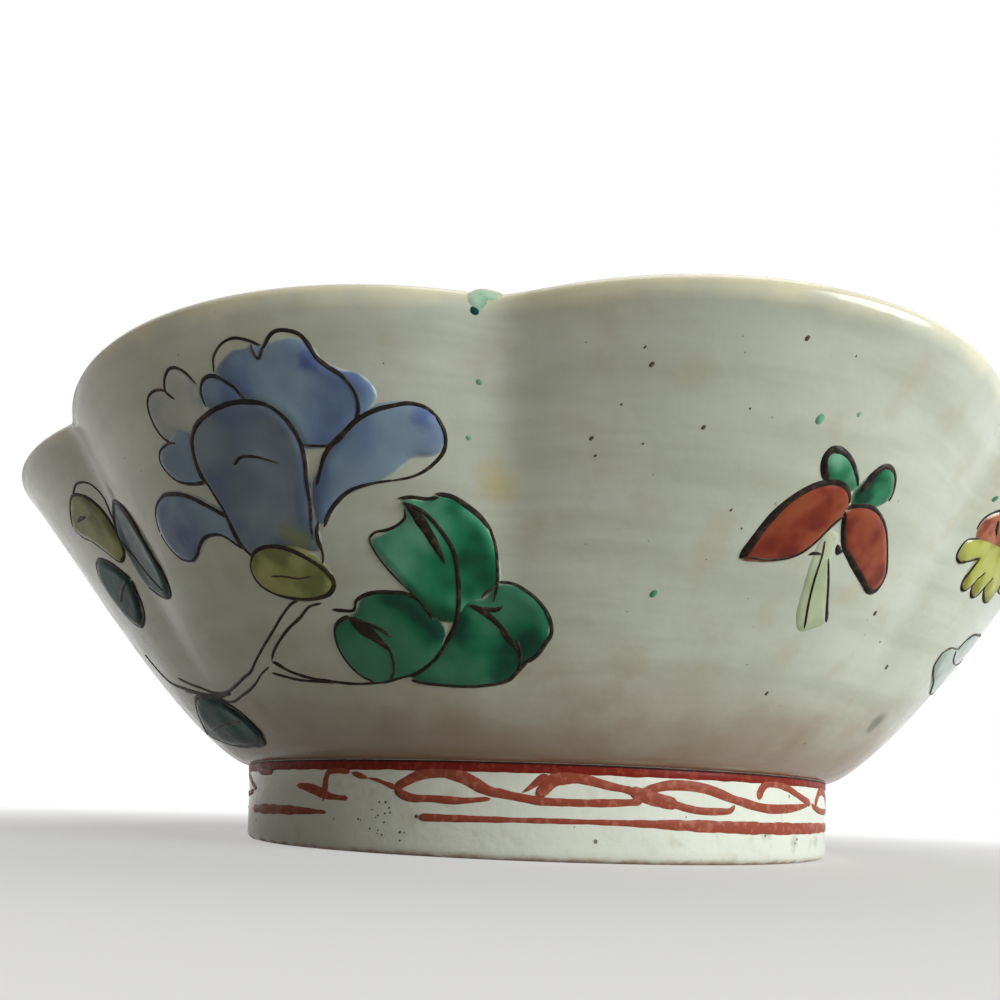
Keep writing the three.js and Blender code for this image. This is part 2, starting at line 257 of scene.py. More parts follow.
def body_mesh():
    """The body's skin: dished base, outer wall, lip, inner wall and flat well."""
    around = LOBES * AROUND_LOBE
    azimuth = np.arange(around) / around * 2 * math.pi
    shares = (np.arange(WALL_ROWS + 1) / WALL_ROWS) ** ROW_CROWDING
    rows = []

    base_edge = FOOT_TOP_RADIUS - FOOT_TOP_WALL
    for share in (0.02, 0.25, 0.5, 0.75, 1):
        z = FOOT_HEIGHT + BASE_HOLLOW * (1 - share**2)
        rows.append(around_axis(azimuth, base_edge * share + 0 * azimuth, z))
    for share in shares:
        z = FOOT_HEIGHT + (WALL_TOP - FOOT_HEIGHT) * share
        rows.append(wall_place(azimuth, z))
    outer_rim = wall_radius(azimuth, WALL_TOP)
    inner_rim = inner_radius(azimuth, WALL_TOP)
    for turn in np.linspace(0, math.pi, LIP_ROWS + 1)[1:-1]:
        way = (1 - math.cos(turn)) / 2
        radius = outer_rim + (inner_rim - outer_rim) * way
        z = WALL_TOP + LIP_HEIGHT * math.sin(turn) - rim_dip(azimuth)
        rows.append(around_axis(azimuth, radius, z))
    for share in shares[::-1]:
        z = WELL_HEIGHT + (WALL_TOP - WELL_HEIGHT) * share
        rows.append(wall_place(azimuth, z, inner_radius))
    for share in np.linspace(1, 0, WELL_ROWS + 1)[1:-1]:
        rows.append(around_axis(azimuth, WELL_RADIUS * share + 0 * azimuth, WELL_HEIGHT))

    points = np.vstack(rows)
    faces = band_faces(len(rows), around)
    bottom, top = len(points), len(points) + 1
    points = np.vstack([points, [[0, 0, FOOT_HEIGHT + BASE_HOLLOW], [0, 0, WELL_HEIGHT]]])
    last = (len(rows) - 1) * around
    for i in range(around):
        j = (i + 1) % around
        faces.append((bottom, j, i))
        faces.append((top, last + i, last + j))
    return points, faces


def foot_mesh():
    """The foot's skin, from its glazed inside over the bearing face to the fillet under the wall."""
    azimuth = np.arange(AROUND_FOOT) / AROUND_FOOT * 2 * math.pi
    inner = FOOT_RADIUS - FOOT_WALL
    top_inner = FOOT_TOP_RADIUS - FOOT_TOP_WALL
    profile = [(top_inner, FOOT_HEIGHT + 0.2)]
    for share in np.linspace(0, 1, 8):
        z = FOOT_HEIGHT + (FOOT_INNER_BEVEL - FOOT_HEIGHT) * share
        profile.append((top_inner + (inner - top_inner) * share, z))
    profile += [(inner + 0.12, 0.25), (inner + 0.35, 0.06), (inner + FOOT_INNER_BEVEL, 0)]
    edge = FOOT_RADIUS + FOOT_GLAZE
    profile += [(edge - 1.1, 0), (edge - 0.6, 0.1), (edge - 0.22, 0.35), (edge - 0.04, 0.7)]
    for z in np.linspace(1.1, FOOT_HEIGHT - JOINT_FILLET, FOOT_ROWS):
        profile.append((foot_radius(azimuth, z), z))
    for turn in np.linspace(0, math.pi / 2, 6)[1:]:
        out = JOINT_FILLET * (1 - math.cos(turn))
        z = FOOT_HEIGHT - JOINT_FILLET * (1 - math.sin(turn))
        profile.append((foot_radius(azimuth, z) + out, z + 0.12 * math.sin(turn)))
    rows = [around_axis(azimuth, radius + 0 * azimuth, z) for radius, z in profile]
    return np.vstack(rows), band_faces(len(rows), AROUND_FOOT)


def curve_through(points, closed=False):
    """Evenly spaced points on the centripetal Catmull-Rom curve through the points."""
    given = np.array(points, float)
    if closed:
        ends = np.vstack([given[-1:], given, given[:2]])
    else:
        ends = np.vstack([2 * given[0] - given[1], given, 2 * given[-1] - given[-2]])
    parts = []
    for a, b, c, d in zip(ends, ends[1:], ends[2:], ends[3:]):
        t1 = np.linalg.norm(b - a) ** 0.5
        t2 = t1 + np.linalg.norm(c - b) ** 0.5
        t3 = t2 + np.linalg.norm(d - c) ** 0.5
        t = np.linspace(t1, t2, 16, endpoint=False)[:, None]
        ab = a + (b - a) * t / t1
        bc = b + (c - b) * (t - t1) / (t2 - t1)
        cd = c + (d - c) * (t - t2) / (t3 - t2)
        abc = ab + (bc - ab) * t / t2
        bcd = bc + (cd - bc) * (t - t1) / (t3 - t1)
        parts.append(abc + (bcd - abc) * (t - t1) / (t2 - t1))
    path = np.vstack(parts + [given[:1] if closed else given[-1:]])
    length = np.concatenate([[0], np.cumsum(np.linalg.norm(np.diff(path, axis=0), axis=1))])
    even = np.linspace(0, length[-1], max(4, round(length[-1] / STROKE_STEP)) + 1)
    path = np.stack([np.interp(even, length, path[:, k]) for k in (0, 1)], 1)
    return path[:-1] if closed else path


def square_to(path, closed=False):
    """Unit directions square to a path, to its left."""
    ahead = np.roll(path, -1, 0) - np.roll(path, 1, 0) if closed else np.gradient(path, axis=0)
    ahead /= np.linalg.norm(ahead, axis=1, keepdims=True)
    return np.stack([-ahead[:, 1], ahead[:, 0]], 1)


def enamel_outline(points):
    """The edge of an enamel, anticlockwise, a little outside its drawn outline."""
    edge = curve_through(points, closed=True)
    after = np.roll(edge, -1, 0)
    if (edge[:, 0] * after[:, 1] - after[:, 0] * edge[:, 1]).sum() < 0:
        edge = edge[::-1]
    return edge - square_to(edge, closed=True) * ENAMEL_SPREAD


def ellipse(x, y, half_width, half_height, tilt_degrees, count=12):
    turn = np.arange(count) / count * 2 * math.pi
    tilt = math.radians(tilt_degrees)
    a, b = half_width * np.cos(turn), half_height * np.sin(turn)
    across = x + a * math.cos(tilt) - b * math.sin(tilt)
    up = y + a * math.sin(tilt) + b * math.cos(tilt)
    return np.stack([across, up], 1)


def depth_inside(points, outline):
    """How far each point lies inside a closed outline. Outside it the number is negative."""
    a, b = outline, np.roll(outline, -1, 0)
    edge = b - a
    away = points[:, None] - a[None]
    t = np.clip((away * edge).sum(-1) / (edge**2).sum(-1), 0, 1)
    distance = np.linalg.norm(away - t[..., None] * edge, axis=-1).min(1)
    x, y = points[:, :1], points[:, 1:]
    straddles = (a[:, 1] > y) != (b[:, 1] > y)
    rise = np.where(edge[:, 1] == 0, 1, edge[:, 1])
    crossings = (straddles & (x < a[:, 0] + edge[:, 0] * (y - a[:, 1]) / rise)).sum(1)
    return np.where(crossings % 2 == 1, distance, -distance)


def enamel_height(points, outline, thickness):
    """A rounded edge, a thicker rim where the glass gathered, and an uneven top."""
    depth = np.maximum(depth_inside(points, outline), 0)
    dome = 1 - np.exp(-depth / ENAMEL_EDGE)
    gathered = GATHERED * np.exp(-(((depth - GATHERED_PLACE) / GATHERED_REACH) ** 2))
    uneven = 1 + 0.2 * ripple(points[:, 0], points[:, 1], 3)
    return thickness * dome * (uneven + gathered)


def enamel_mesh(edge, thickness, surface):
    """An enamel's domed skin over a surface, and how deep inside its edge each point lies."""
    rims = edge + square_to(edge, closed=True) * ENAMEL_RIM
    low, high = edge.min(0), edge.max(0)
    grid = np.meshgrid(*(np.arange(low[k], high[k], ENAMEL_GRID) for k in (0, 1)))
    grid = np.stack(grid, -1).reshape(-1, 2)
    rims = rims[depth_inside(rims, edge) > ENAMEL_RIM_CLEAR]
    grid = grid[depth_inside(grid, edge) > ENAMEL_GRID_CLEAR]
    ring = [(i, (i + 1) % len(edge)) for i in range(len(edge))]
    drawn = [Vector(point) for point in np.vstack([edge, rims, grid])]
    flat, _, faces, *_ = delaunay_2d_cdt(drawn, ring, [], 1, 1e-5)
    flat = np.array([tuple(point) for point in flat])
    depth = np.maximum(depth_inside(flat, edge), 0)
    lift = enamel_height(flat, edge, thickness) - SUNK * np.exp(-depth / SUNK_REACH)
    return surface(flat[:, 0], flat[:, 1], lift), [tuple(face) for face in faces], depth


def stroke_mesh(strokes, surface, enamels=()):
    """Raised brush strokes. A stroke is its widths from start to end, evenly spaced, and its path."""
    points, faces, press = [], [], []
    count = 0
    breadth = len(STROKE_PROFILE)
    for number, (widths, path) in enumerate(strokes):
        path = curve_through(path)
        side = square_to(path)
        way = np.linspace(0, 1, len(path))
        width = np.interp(way, np.linspace(0, 1, len(widths)), widths) / STROKE_SHOWN
        width *= 1 + STROKE_WOBBLE * ripple(path[:, 0] * 2.2, path[:, 1] * 2.2, number)
        from_end = np.minimum(way, 1 - way) * len(path) * STROKE_STEP
        width *= np.sqrt(np.clip(STROKE_TIP + from_end / STROKE_TAPER, 0, 1))
        lines = []
        for across, height in STROKE_PROFILE:
            line = path + side * (width * across / 2)[:, None]
            lift = STROKE_HEIGHT * height - (SUNK if height == 0 else 0) + 0 * way
            if enamels:
                lift += np.max([enamel_height(line, *enamel) for enamel in enamels], axis=0)
            lines.append(surface(line[:, 0], line[:, 1], lift))
        points.append(np.stack(lines, 1).reshape(-1, 3))
        press.append(np.repeat(width, breadth))
        for i in range(len(path) - 1):
            for k in range(breadth - 1):
                a = count + i * breadth + k
                faces.append((a, a + breadth, a + breadth + 1, a + 1))
        count += len(path) * breadth
    return np.vstack(points), faces, np.concatenate(press)


# Materials

def linear(red, green, blue):
    """A colour as it looks on a screen, from 0 to 255, as the linear colour that a shader takes."""
    parts = [part / 255 for part in (red, green, blue)]
    parts = [p / 12.92 if p <= 0.04045 else ((p + 0.055) / 1.055) ** 2.4 for p in parts]
    return (*parts, 1)


# Heights in metres between which a colour of the glaze comes in
# brown tinge low on the outside: partly the glaze's own tone, partly painted shade and warm reflected light
LOW_TINGE_AND_SHADE = (0.0215, 0.0115)
# cream lip: partly the lip's own cream tone, partly a painted highlight from light above
CREAM_LIP_AND_HIGHLIGHT = (0.0397, 0.0415)
# dark brown at the top of the foot: partly a stain, partly painted shadow under the overhanging wall
DARK_JOINT_AND_SHADOW = (0.0088, 0.0096)
BARE_EDGE = (0.0012, 0.0005)


class Nodes:
    """A node tree, and how nodes are added to it."""

    def __init__(self, tree):
        self.tree = tree

    def node(self, kind, **settings):
        made = self.tree.nodes.new(kind)
        for key, value in settings.items():
            setattr(made, key, value)
        return made

    def feed(self, socket, value):
        if isinstance(value, bpy.types.NodeSocket):
            self.tree.links.new(value, socket)
        else:
            socket.default_value = value

    def math(self, operation, a, b):
        made = self.node("ShaderNodeMath", operation=operation)
        self.feed(made.inputs[0], a)
        self.feed(made.inputs[1], b)
        return made.outputs[0]


class Shading(Nodes):
    """A material's node tree, with the few kinds of node that this scene uses."""

    def __init__(self, name, roughness, specular=0.5):
        self.material = bpy.data.materials.new(name)
        self.material.use_nodes = True
        super().__init__(self.material.node_tree)
        self.shader = self.tree.nodes["Principled BSDF"]
        self.shader.inputs["Roughness"].default_value = roughness
        self.shader.inputs["Specular IOR Level"].default_value = specular
        self.place = self.node("ShaderNodeTexCoord").outputs["Object"]

    def stretched(self, x, y, z):
        mapping = self.node("ShaderNodeMapping")
        self.feed(mapping.inputs["Vector"], self.place)
        mapping.inputs["Scale"].default_value = (x, y, z)
        return mapping.outputs["Vector"]

    def noise(self, size, detail=3, where=None):
        """Noise whose lumps are about size millimetres across."""
        made = self.node("ShaderNodeTexNoise")
        self.feed(made.inputs["Vector"], where or self.place)
        made.inputs["Scale"].default_value = 1 / (size * MM)
        made.inputs["Detail"].default_value = detail
        return made.outputs["Fac"]

    def dots(self, spacing, size):
        """Round dots about size millimetres across in cells of a spacing: 1 in a dot and 0 outside."""
        made = self.node("ShaderNodeTexVoronoi")
        self.feed(made.inputs["Vector"], self.place)
        made.inputs["Scale"].default_value = 1 / (spacing * MM)
        chosen = self.node("ShaderNodeSeparateColor")
        self.feed(chosen.inputs["Color"], made.outputs["Color"])
        few = self.spread(chosen.outputs["Red"], 0.72, 0.74)
        reach = self.math("MULTIPLY", chosen.outputs["Green"], size / spacing)
        share = self.math("DIVIDE", made.outputs["Distance"], reach)
        return self.math("MULTIPLY", few, self.spread(share, 1, 0.6))

    def attribute(self, name):
        return self.node("ShaderNodeAttribute", attribute_name=name).outputs["Fac"]

    def spread(self, value, low, high, to_low=0, to_high=1):
        """The value's range from low to high, smoothly turned into another range."""
        made = self.node("ShaderNodeMapRange", interpolation_type="SMOOTHSTEP")
        self.feed(made.inputs["Value"], value)
        made.inputs["From Min"].default_value = low
        made.inputs["From Max"].default_value = high
        made.inputs["To Min"].default_value = to_low
        made.inputs["To Max"].default_value = to_high
        return made.outputs["Result"]

    def ragged(self, value, size, detail, amount):
        """A value with up to an amount of noise added to it."""
        return self.math("ADD", value, self.math("MULTIPLY", self.noise(size, detail), amount))

    def looks_down(self):
        """1 where the surface looks down, as the outside of the wall does, and 0 where it looks up."""
        parts = self.node("ShaderNodeSeparateXYZ")
        self.feed(parts.inputs["Vector"], self.node("ShaderNodeNewGeometry").outputs["Normal"])
        return self.spread(parts.outputs["Z"], 0, -0.3)

    def near(self, x, y, z, reach):
        """1 at a place in millimetres, falling to 0 at a reach from it, with a ragged edge."""
        away = self.node("ShaderNodeVectorMath", operation="DISTANCE")
        self.feed(away.inputs[0], self.place)
        away.inputs[1].default_value = (x * MM, y * MM, z * MM)
        ragged = self.ragged(away.outputs["Value"], reach * 0.5, 3, reach * MM * 0.8)
        return self.spread(ragged, reach * MM, reach * MM * 0.4)

    def height(self):
        split = self.node("ShaderNodeSeparateXYZ")
        self.feed(split.inputs["Vector"], self.place)
        return split.outputs["Z"]

    def mix(self, share, a, b):
        """Two colours mixed. Each is a node's, or red, green and blue as they look on a screen."""
        made = self.node("ShaderNodeMix", data_type="RGBA")
        self.feed(made.inputs[0], share)
        for socket, colour in ((made.inputs[6], a), (made.inputs[7], b)):
            self.feed(socket, linear(*colour) if isinstance(colour, tuple) else colour)
        return made.outputs[2]

    def tint(self, colour, share, strength, other):
        """A colour with another over it, where the share is 1 as strongly as the strength says."""
        return self.mix(self.math("MULTIPLY", share, strength), colour, other)

    def bump(self, height, depth, under=None):
        """Relief whose height runs from 0 to a depth in millimetres."""
        made = self.node("ShaderNodeBump")
        self.feed(made.inputs["Height"], height)
        made.inputs["Distance"].default_value = depth * MM
        if under:
            self.feed(made.inputs["Normal"], under)
        return made.outputs["Normal"]

    def finish(self, colour, roughness, normal):
        self.feed(self.shader.inputs["Base Color"], colour)
        self.feed(self.shader.inputs["Roughness"], roughness)
        self.feed(self.shader.inputs["Normal"], normal)
        return self.material


def glaze_colour(s):
    """Grey-green glaze with faint bands from the wheel, brown specks, a cream lip that is lighter partly as
    a painted highlight from above, and a brown tinge low on the outside that is partly the glaze's own tone
    and partly painted shade and warm reflected light."""
    cloudy = s.noise(16, 4)
    bands = s.noise(6, 4, s.stretched(0.3, 0.3, 2.4))
    colour = s.mix(s.spread(cloudy, 0.3, 0.7), (184, 187, 173), (200, 202, 188))
    colour = s.mix(s.spread(bands, 0.4, 0.7, 0, 0.5), colour, (168, 169, 150))
    colour = s.mix(s.spread(s.noise(5, 5), 0.48, 0.72, 0, 0.42), colour, (176, 165, 140))
    # brown tinge low on the outside: partly the glaze's own tone, partly painted shade and warm reflected
    # light
    low = s.spread(s.ragged(s.height(), 7, 4, 0.007), *LOW_TINGE_AND_SHADE)
    low = s.math("MULTIPLY", low, s.looks_down())
    colour = s.tint(colour, low, 0.85, (140, 110, 84))
    # cream lip: partly the lip's own cream tone, partly a painted highlight from light above
    lip = s.spread(s.ragged(s.height(), 4, 4, 0.0022), *CREAM_LIP_AND_HIGHLIGHT)
    colour = s.tint(colour, lip, 0.85, (220, 211, 176))
    colour = s.tint(colour, s.dots(2.4, 0.3), 0.6, (104, 92, 68))
    return s.tint(colour, s.dots(1.3, 0.14), 0.6, (120, 108, 84))


def glaze_relief(s):
    skin = s.bump(s.noise(1.6, 2), 0.035)
    bands = s.noise(7, 3, s.stretched(0.2, 0.2, 2.2))
    return s.bump(bands, 0.12, skin)


def glaze_material():
    """The glaze, with a yellow stain at the front crease and a smudge low on the right."""
    s = Shading("glaze", 0.2, 0.28)
    colour = s.tint(glaze_colour(s), s.near(-0.55, -57.5, 28.7, 4.4), 0.75, (190, 178, 122))
    colour = s.tint(colour, s.near(37.4, -26.8, 14.1, 3.4), 0.85, (92, 94, 74))
    roughness = s.spread(s.noise(3, 3), 0.3, 0.75, 0.14, 0.26)
    return s.finish(colour, roughness, glaze_relief(s))


def foot_material():
    """White glaze that stops at a worn brown edge, with grit, dark brown under the joint that is partly a
    stain and partly painted shadow of the overhanging wall, and three grey smears to the right of the
    front."""
    s = Shading("foot_glaze", 0.25, 0.35)
    colour = s.mix(s.noise(9, 4), (198, 201, 188), (220, 220, 207))
    colour = s.mix(s.spread(s.noise(2.5, 4), 0.55, 0.75, 0, 0.35), colour, (178, 168, 140))
    ragged = s.ragged(s.height(), 1.5, 4, 0.0012)
    # dark brown at the top of the foot: partly a stain, partly painted shadow under the overhanging wall
    joint = s.spread(ragged, *DARK_JOINT_AND_SHADOW)
    colour = s.tint(colour, joint, 0.85, (84, 52, 38))
    bare = s.spread(ragged, *BARE_EDGE)
    colour = s.mix(bare, colour, s.mix(s.noise(0.8, 3), (190, 160, 138), (136, 108, 86)))
    colour = s.tint(colour, s.dots(1.9, 0.28), 0.85, (84, 66, 50))
    for x, y, z in ((28.3, -23.7, 1.9), (32, -18.4, 2.2), (24.6, -27.5, 2.8)):
        colour = s.tint(colour, s.near(x, y, z, 1.8), 0.6, (138, 146, 124))
    roughness = s.spread(bare, 0, 1, 0.22, 0.75)
    return s.finish(colour, roughness, s.bump(s.noise(0.9, 3), 0.05))


def enamel_material(name, thin, body, deep, size, wash=0.0, roughness=0.14, specular=0.15, pools=()):
    """Coloured glass over the glaze: thin at its edge, and deeper where it gathered, in lumps of a
    size. A wash is the share of it through which the glaze shows, and each pool is a spot of another
    colour: a place in millimetres, a reach and the colour."""
    s = Shading(name, roughness, specular)
    depth = s.attribute("depth")
    pooled = s.noise(size, 2)
    colour = s.mix(s.spread(pooled, 0.35, 0.6), thin, body)
    gathered = s.math("ADD", pooled, s.spread(depth, 2.2, 0.5, 0, 0.08))
    colour = s.mix(s.spread(gathered, 0.55, 0.72), colour, deep)
    for x, y, z, reach, pool in pools:
        colour = s.tint(colour, s.near(x, y, z, reach), 0.85, pool)
    cover = s.spread(s.ragged(depth, 1.2, 3, 0.35), 0.1, 0.42, 0, 1 - wash)
    colour = s.mix(cover, glaze_colour(s), colour)
    ripples = s.bump(s.noise(1.1, 2), 0.03)
    return s.finish(colour, s.spread(s.noise(2, 2), 0.3, 0.7, roughness * 0.7, roughness * 1.6), ripples)


def ink_material(name, dark, pale, roughness=0.35):
    """A brushed line: full where the brush pressed, and paler and streaky where it ran thin."""
    s = Shading(name, roughness, 0.06)
    press = s.spread(s.attribute("press"), 0.05, 0.3)
    streaks = s.spread(s.noise(0.7, 3), 0.35, 0.65)
    full = s.math("MULTIPLY", s.math("ADD", press, streaks), 0.5)
    colour = s.mix(s.spread(full, 0.25, 0.75), pale, dark)
    return s.finish(colour, s.spread(s.noise(1), 0.3, 0.7, roughness * 0.8, roughness * 1.3),
                    s.bump(s.noise(0.4, 2), 0.02))


ENAMELS = {
    "blue": enamel_material(
        "blue_enamel", (122, 144, 166), (98, 122, 152), (78, 100, 144), 6, 0.06,
        pools=[(-14.8, -64.1, 36.1, 2.4, (46, 62, 136)), (-6.1, -61.2, 32.6, 2.6, (66, 88, 148)),
               (-30.1, -49.5, 26.7, 2.8, (66, 70, 130))]),
    "pale_blue": enamel_material(
        "pale_blue_enamel", (180, 182, 180), (160, 166, 176), (128, 138, 160), 3, 0.45),
    "yellow_green": enamel_material(
        "yellow_green_enamel", (158, 160, 96), (134, 138, 72), (106, 110, 50), 3, 0.1,
        specular=0.06),
    "green": enamel_material(
        "green_enamel", (90, 150, 124), (26, 118, 80), (6, 72, 48), 6),
    "dark_green": enamel_material(
        "dark_green_enamel", (34, 84, 78), (16, 58, 56), (8, 38, 40), 5,
        specular=0.03),
    "pale_green": enamel_material(
        "pale_green_enamel", (178, 188, 146), (160, 176, 120), (140, 160, 96), 3, 0.5),
    "sea_green": enamel_material(
        "sea_green_enamel", (146, 166, 158), (118, 146, 138), (96, 128, 120), 3, 0.3),
    "red": enamel_material(
        "red_enamel", (144, 70, 44), (124, 46, 28), (108, 38, 26), 3, 0, 0.16),
    "orange": enamel_material(
        "orange_enamel", (172, 108, 78), (152, 80, 54), (124, 58, 40), 2, 0, 0.16),
    "yellow": enamel_material(
        "yellow_enamel", (174, 176, 78), (158, 158, 46), (134, 136, 32), 3, 0.05),
}

# Fields whose glass differs from the rest of their colour
VARIANTS = {
    "front_petal": enamel_material(
        "grey_blue_enamel", (122, 132, 144), (96, 108, 128), (80, 96, 128), 7, 0.06,
        pools=[(-17.6, -53.8, 24.7, 4.4, (116, 122, 68))]),
    "rolled_leaf": enamel_material(
        "dark_leaf_enamel", (58, 118, 90), (16, 98, 68), (6, 62, 46), 5),
    "left_leaf_of_sprig": enamel_material(
        "thin_green_enamel", (120, 172, 146), (76, 140, 108), (44, 118, 82), 4),
    "right_leaf_of_sprig": enamel_material(
        "deep_green_enamel", (44, 124, 88), (10, 88, 56), (4, 64, 42), 3),
}
VARIANTS["right_leaf_of_peony"] = VARIANTS["rolled_leaf"]
MINT = enamel_material(
    "mint_drop", (168, 204, 180), (140, 190, 164), (110, 168, 140), 1.5, 0.25)
INK = ink_material("brown_black_line", (40, 34, 30), (80, 66, 54))
GRIT = ink_material("grit", (80, 74, 56), (128, 120, 96), 0.38)
BAND_RED = ink_material("iron_red_band", (118, 34, 26), (146, 62, 46), 0.38)
SCROLL_RED = ink_material("iron_red_line", (140, 68, 52), (176, 108, 90), 0.38)
# dark brown line at the joint: partly a stain, partly painted shadow under the overhanging wall
JOINT_BROWN = ink_material("joint_stain_and_shadow", (62, 30, 24), (96, 48, 36), 0.42)


# Bowl and foot

add_piece("glazed_body", *body_mesh(), glaze_material(), "glazed_porcelain", ["bowl_body"])
add_piece("glazed_foot", *foot_mesh(), foot_material(), "foot_porcelain", ["foot_ring"])


# The sprays: each enamel is its colour and its outline, and each stroke its widths and its path

PEONY = {
    "front_petal": ("blue", [
        (-1.5, 15.9), (-2.3, 18.5), (-2.9, 20.6), (-3.4, 22.3), (-3, 23.8), (-2, 24.7), (0, 25.3),
        (2.7, 25.7), (5.7, 25.3), (7.2, 24), (7.5, 22.7), (6.9, 20.3), (6.2, 18), (5.6, 15.8),
        (3.5, 16.1), (0.7, 16.4)]),
    "top_petal": ("blue", [
        (2.3, 27.4), (3.2, 28), (4.6, 28.5), (6.4, 28.6), (7.6, 28.6), (9.5, 28.8), (10.8, 28.5),
        (11.3, 27.5), (12.6, 26.8), (13.9, 26.4), (14.4, 25.5), (13.6, 24.6), (12.2, 23.7),
        (10.7, 22.8), (9, 22.4), (7.6, 22.6), (7.4, 23.8), (6.6, 24.7), (5.4, 25.4), (4.1, 25.9),
        (3.4, 26.8)]),
    "small_petal": ("blue", [
        (0.2, 25.9), (0.4, 26.9), (1.2, 27.4), (2.3, 27.3), (3.3, 26.7), (4, 25.9), (2, 25.6)]),
    "pale_petal": ("pale_blue", [
        (-0.2, 26.2), (-0.3, 27.3), (-1.2, 28.3), (-2.2, 28.6), (-3.3, 28), (-3.8, 27.4),
        (-5, 27.7), (-6.3, 27.3), (-6.8, 26.2), (-6.3, 24.9), (-5, 24.4), (-3.2, 24.4), (-1.5, 25.2)]),
    "left_petal": ("blue", [
        (-3.2, 21.3), (-4.7, 21.4), (-6.2, 21.7), (-7.5, 22.6), (-7.9, 23.4), (-7.2, 24.2),
        (-5.6, 24.4), (-4, 24.9), (-2.9, 24.3), (-3.4, 22.8)]),
    "lower_petal": ("blue", [
        (-2.3, 18.7), (-3.8, 19.6), (-5.8, 20.6), (-8.2, 21.2), (-10.3, 21.3), (-12, 20.6),
        (-12.7, 19.3), (-12.1, 17.7), (-10.8, 16.7), (-9.2, 16.4), (-7.6, 17), (-5.6, 17.7),
        (-3.8, 17.5), (-2.1, 16.5)]),
    "right_petal": ("blue", [
        (6.6, 17.5), (7.3, 19.8), (8.3, 20.8), (9.8, 22.3), (12, 23.6), (14.3, 24.6), (16.5, 24.8),
        (17.9, 24.3), (18.4, 23.1), (17.4, 21.9), (15.6, 21.6), (13.8, 20.6), (11.5, 19.8),
        (9.2, 19.1), (7.8, 18.1)]),
    "calyx": ("yellow_green", ellipse(1.87, 14.25, 3.9, 1.9, -8)),
    "upper_leaf": ("green", [
        (10.5, 15.9), (12, 16.5), (13.2, 17), (14, 17.7), (14, 18.6), (15.6, 18.5), (17, 18.9),
        (18.4, 18.2), (19.3, 16.8), (19.4, 15), (18.9, 13.2), (17.4, 12.3), (16.2, 11.8),
        (15, 10.6), (13.3, 10.8), (12.4, 12.2), (11.4, 13.8), (10.7, 15.1)]),
    "rolled_leaf": ("green", [
        (3.8, 9), (4.2, 10.1), (5.2, 10.6), (6.8, 11), (8, 12.1), (9.8, 12.4), (11.8, 12.2),
        (13, 11), (13.6, 9.9), (12.6, 8.4), (11, 7.2), (8.6, 6.5), (6.4, 6.1), (4.6, 6.7), (3.9, 7.8)]),
    "right_leaf": ("green", [
        (16, 11.6), (15, 10.6), (13.9, 9.2), (12.4, 8), (10.4, 7), (9.4, 6.3), (12, 5.9), (15, 5.9),
        (17.3, 6.4), (18.8, 7.5), (20.4, 8.3), (21.6, 9.6), (22, 10.9), (21.4, 12.1), (20.2, 12.9),
        (18.9, 12.9), (17.9, 12.1)]),
}
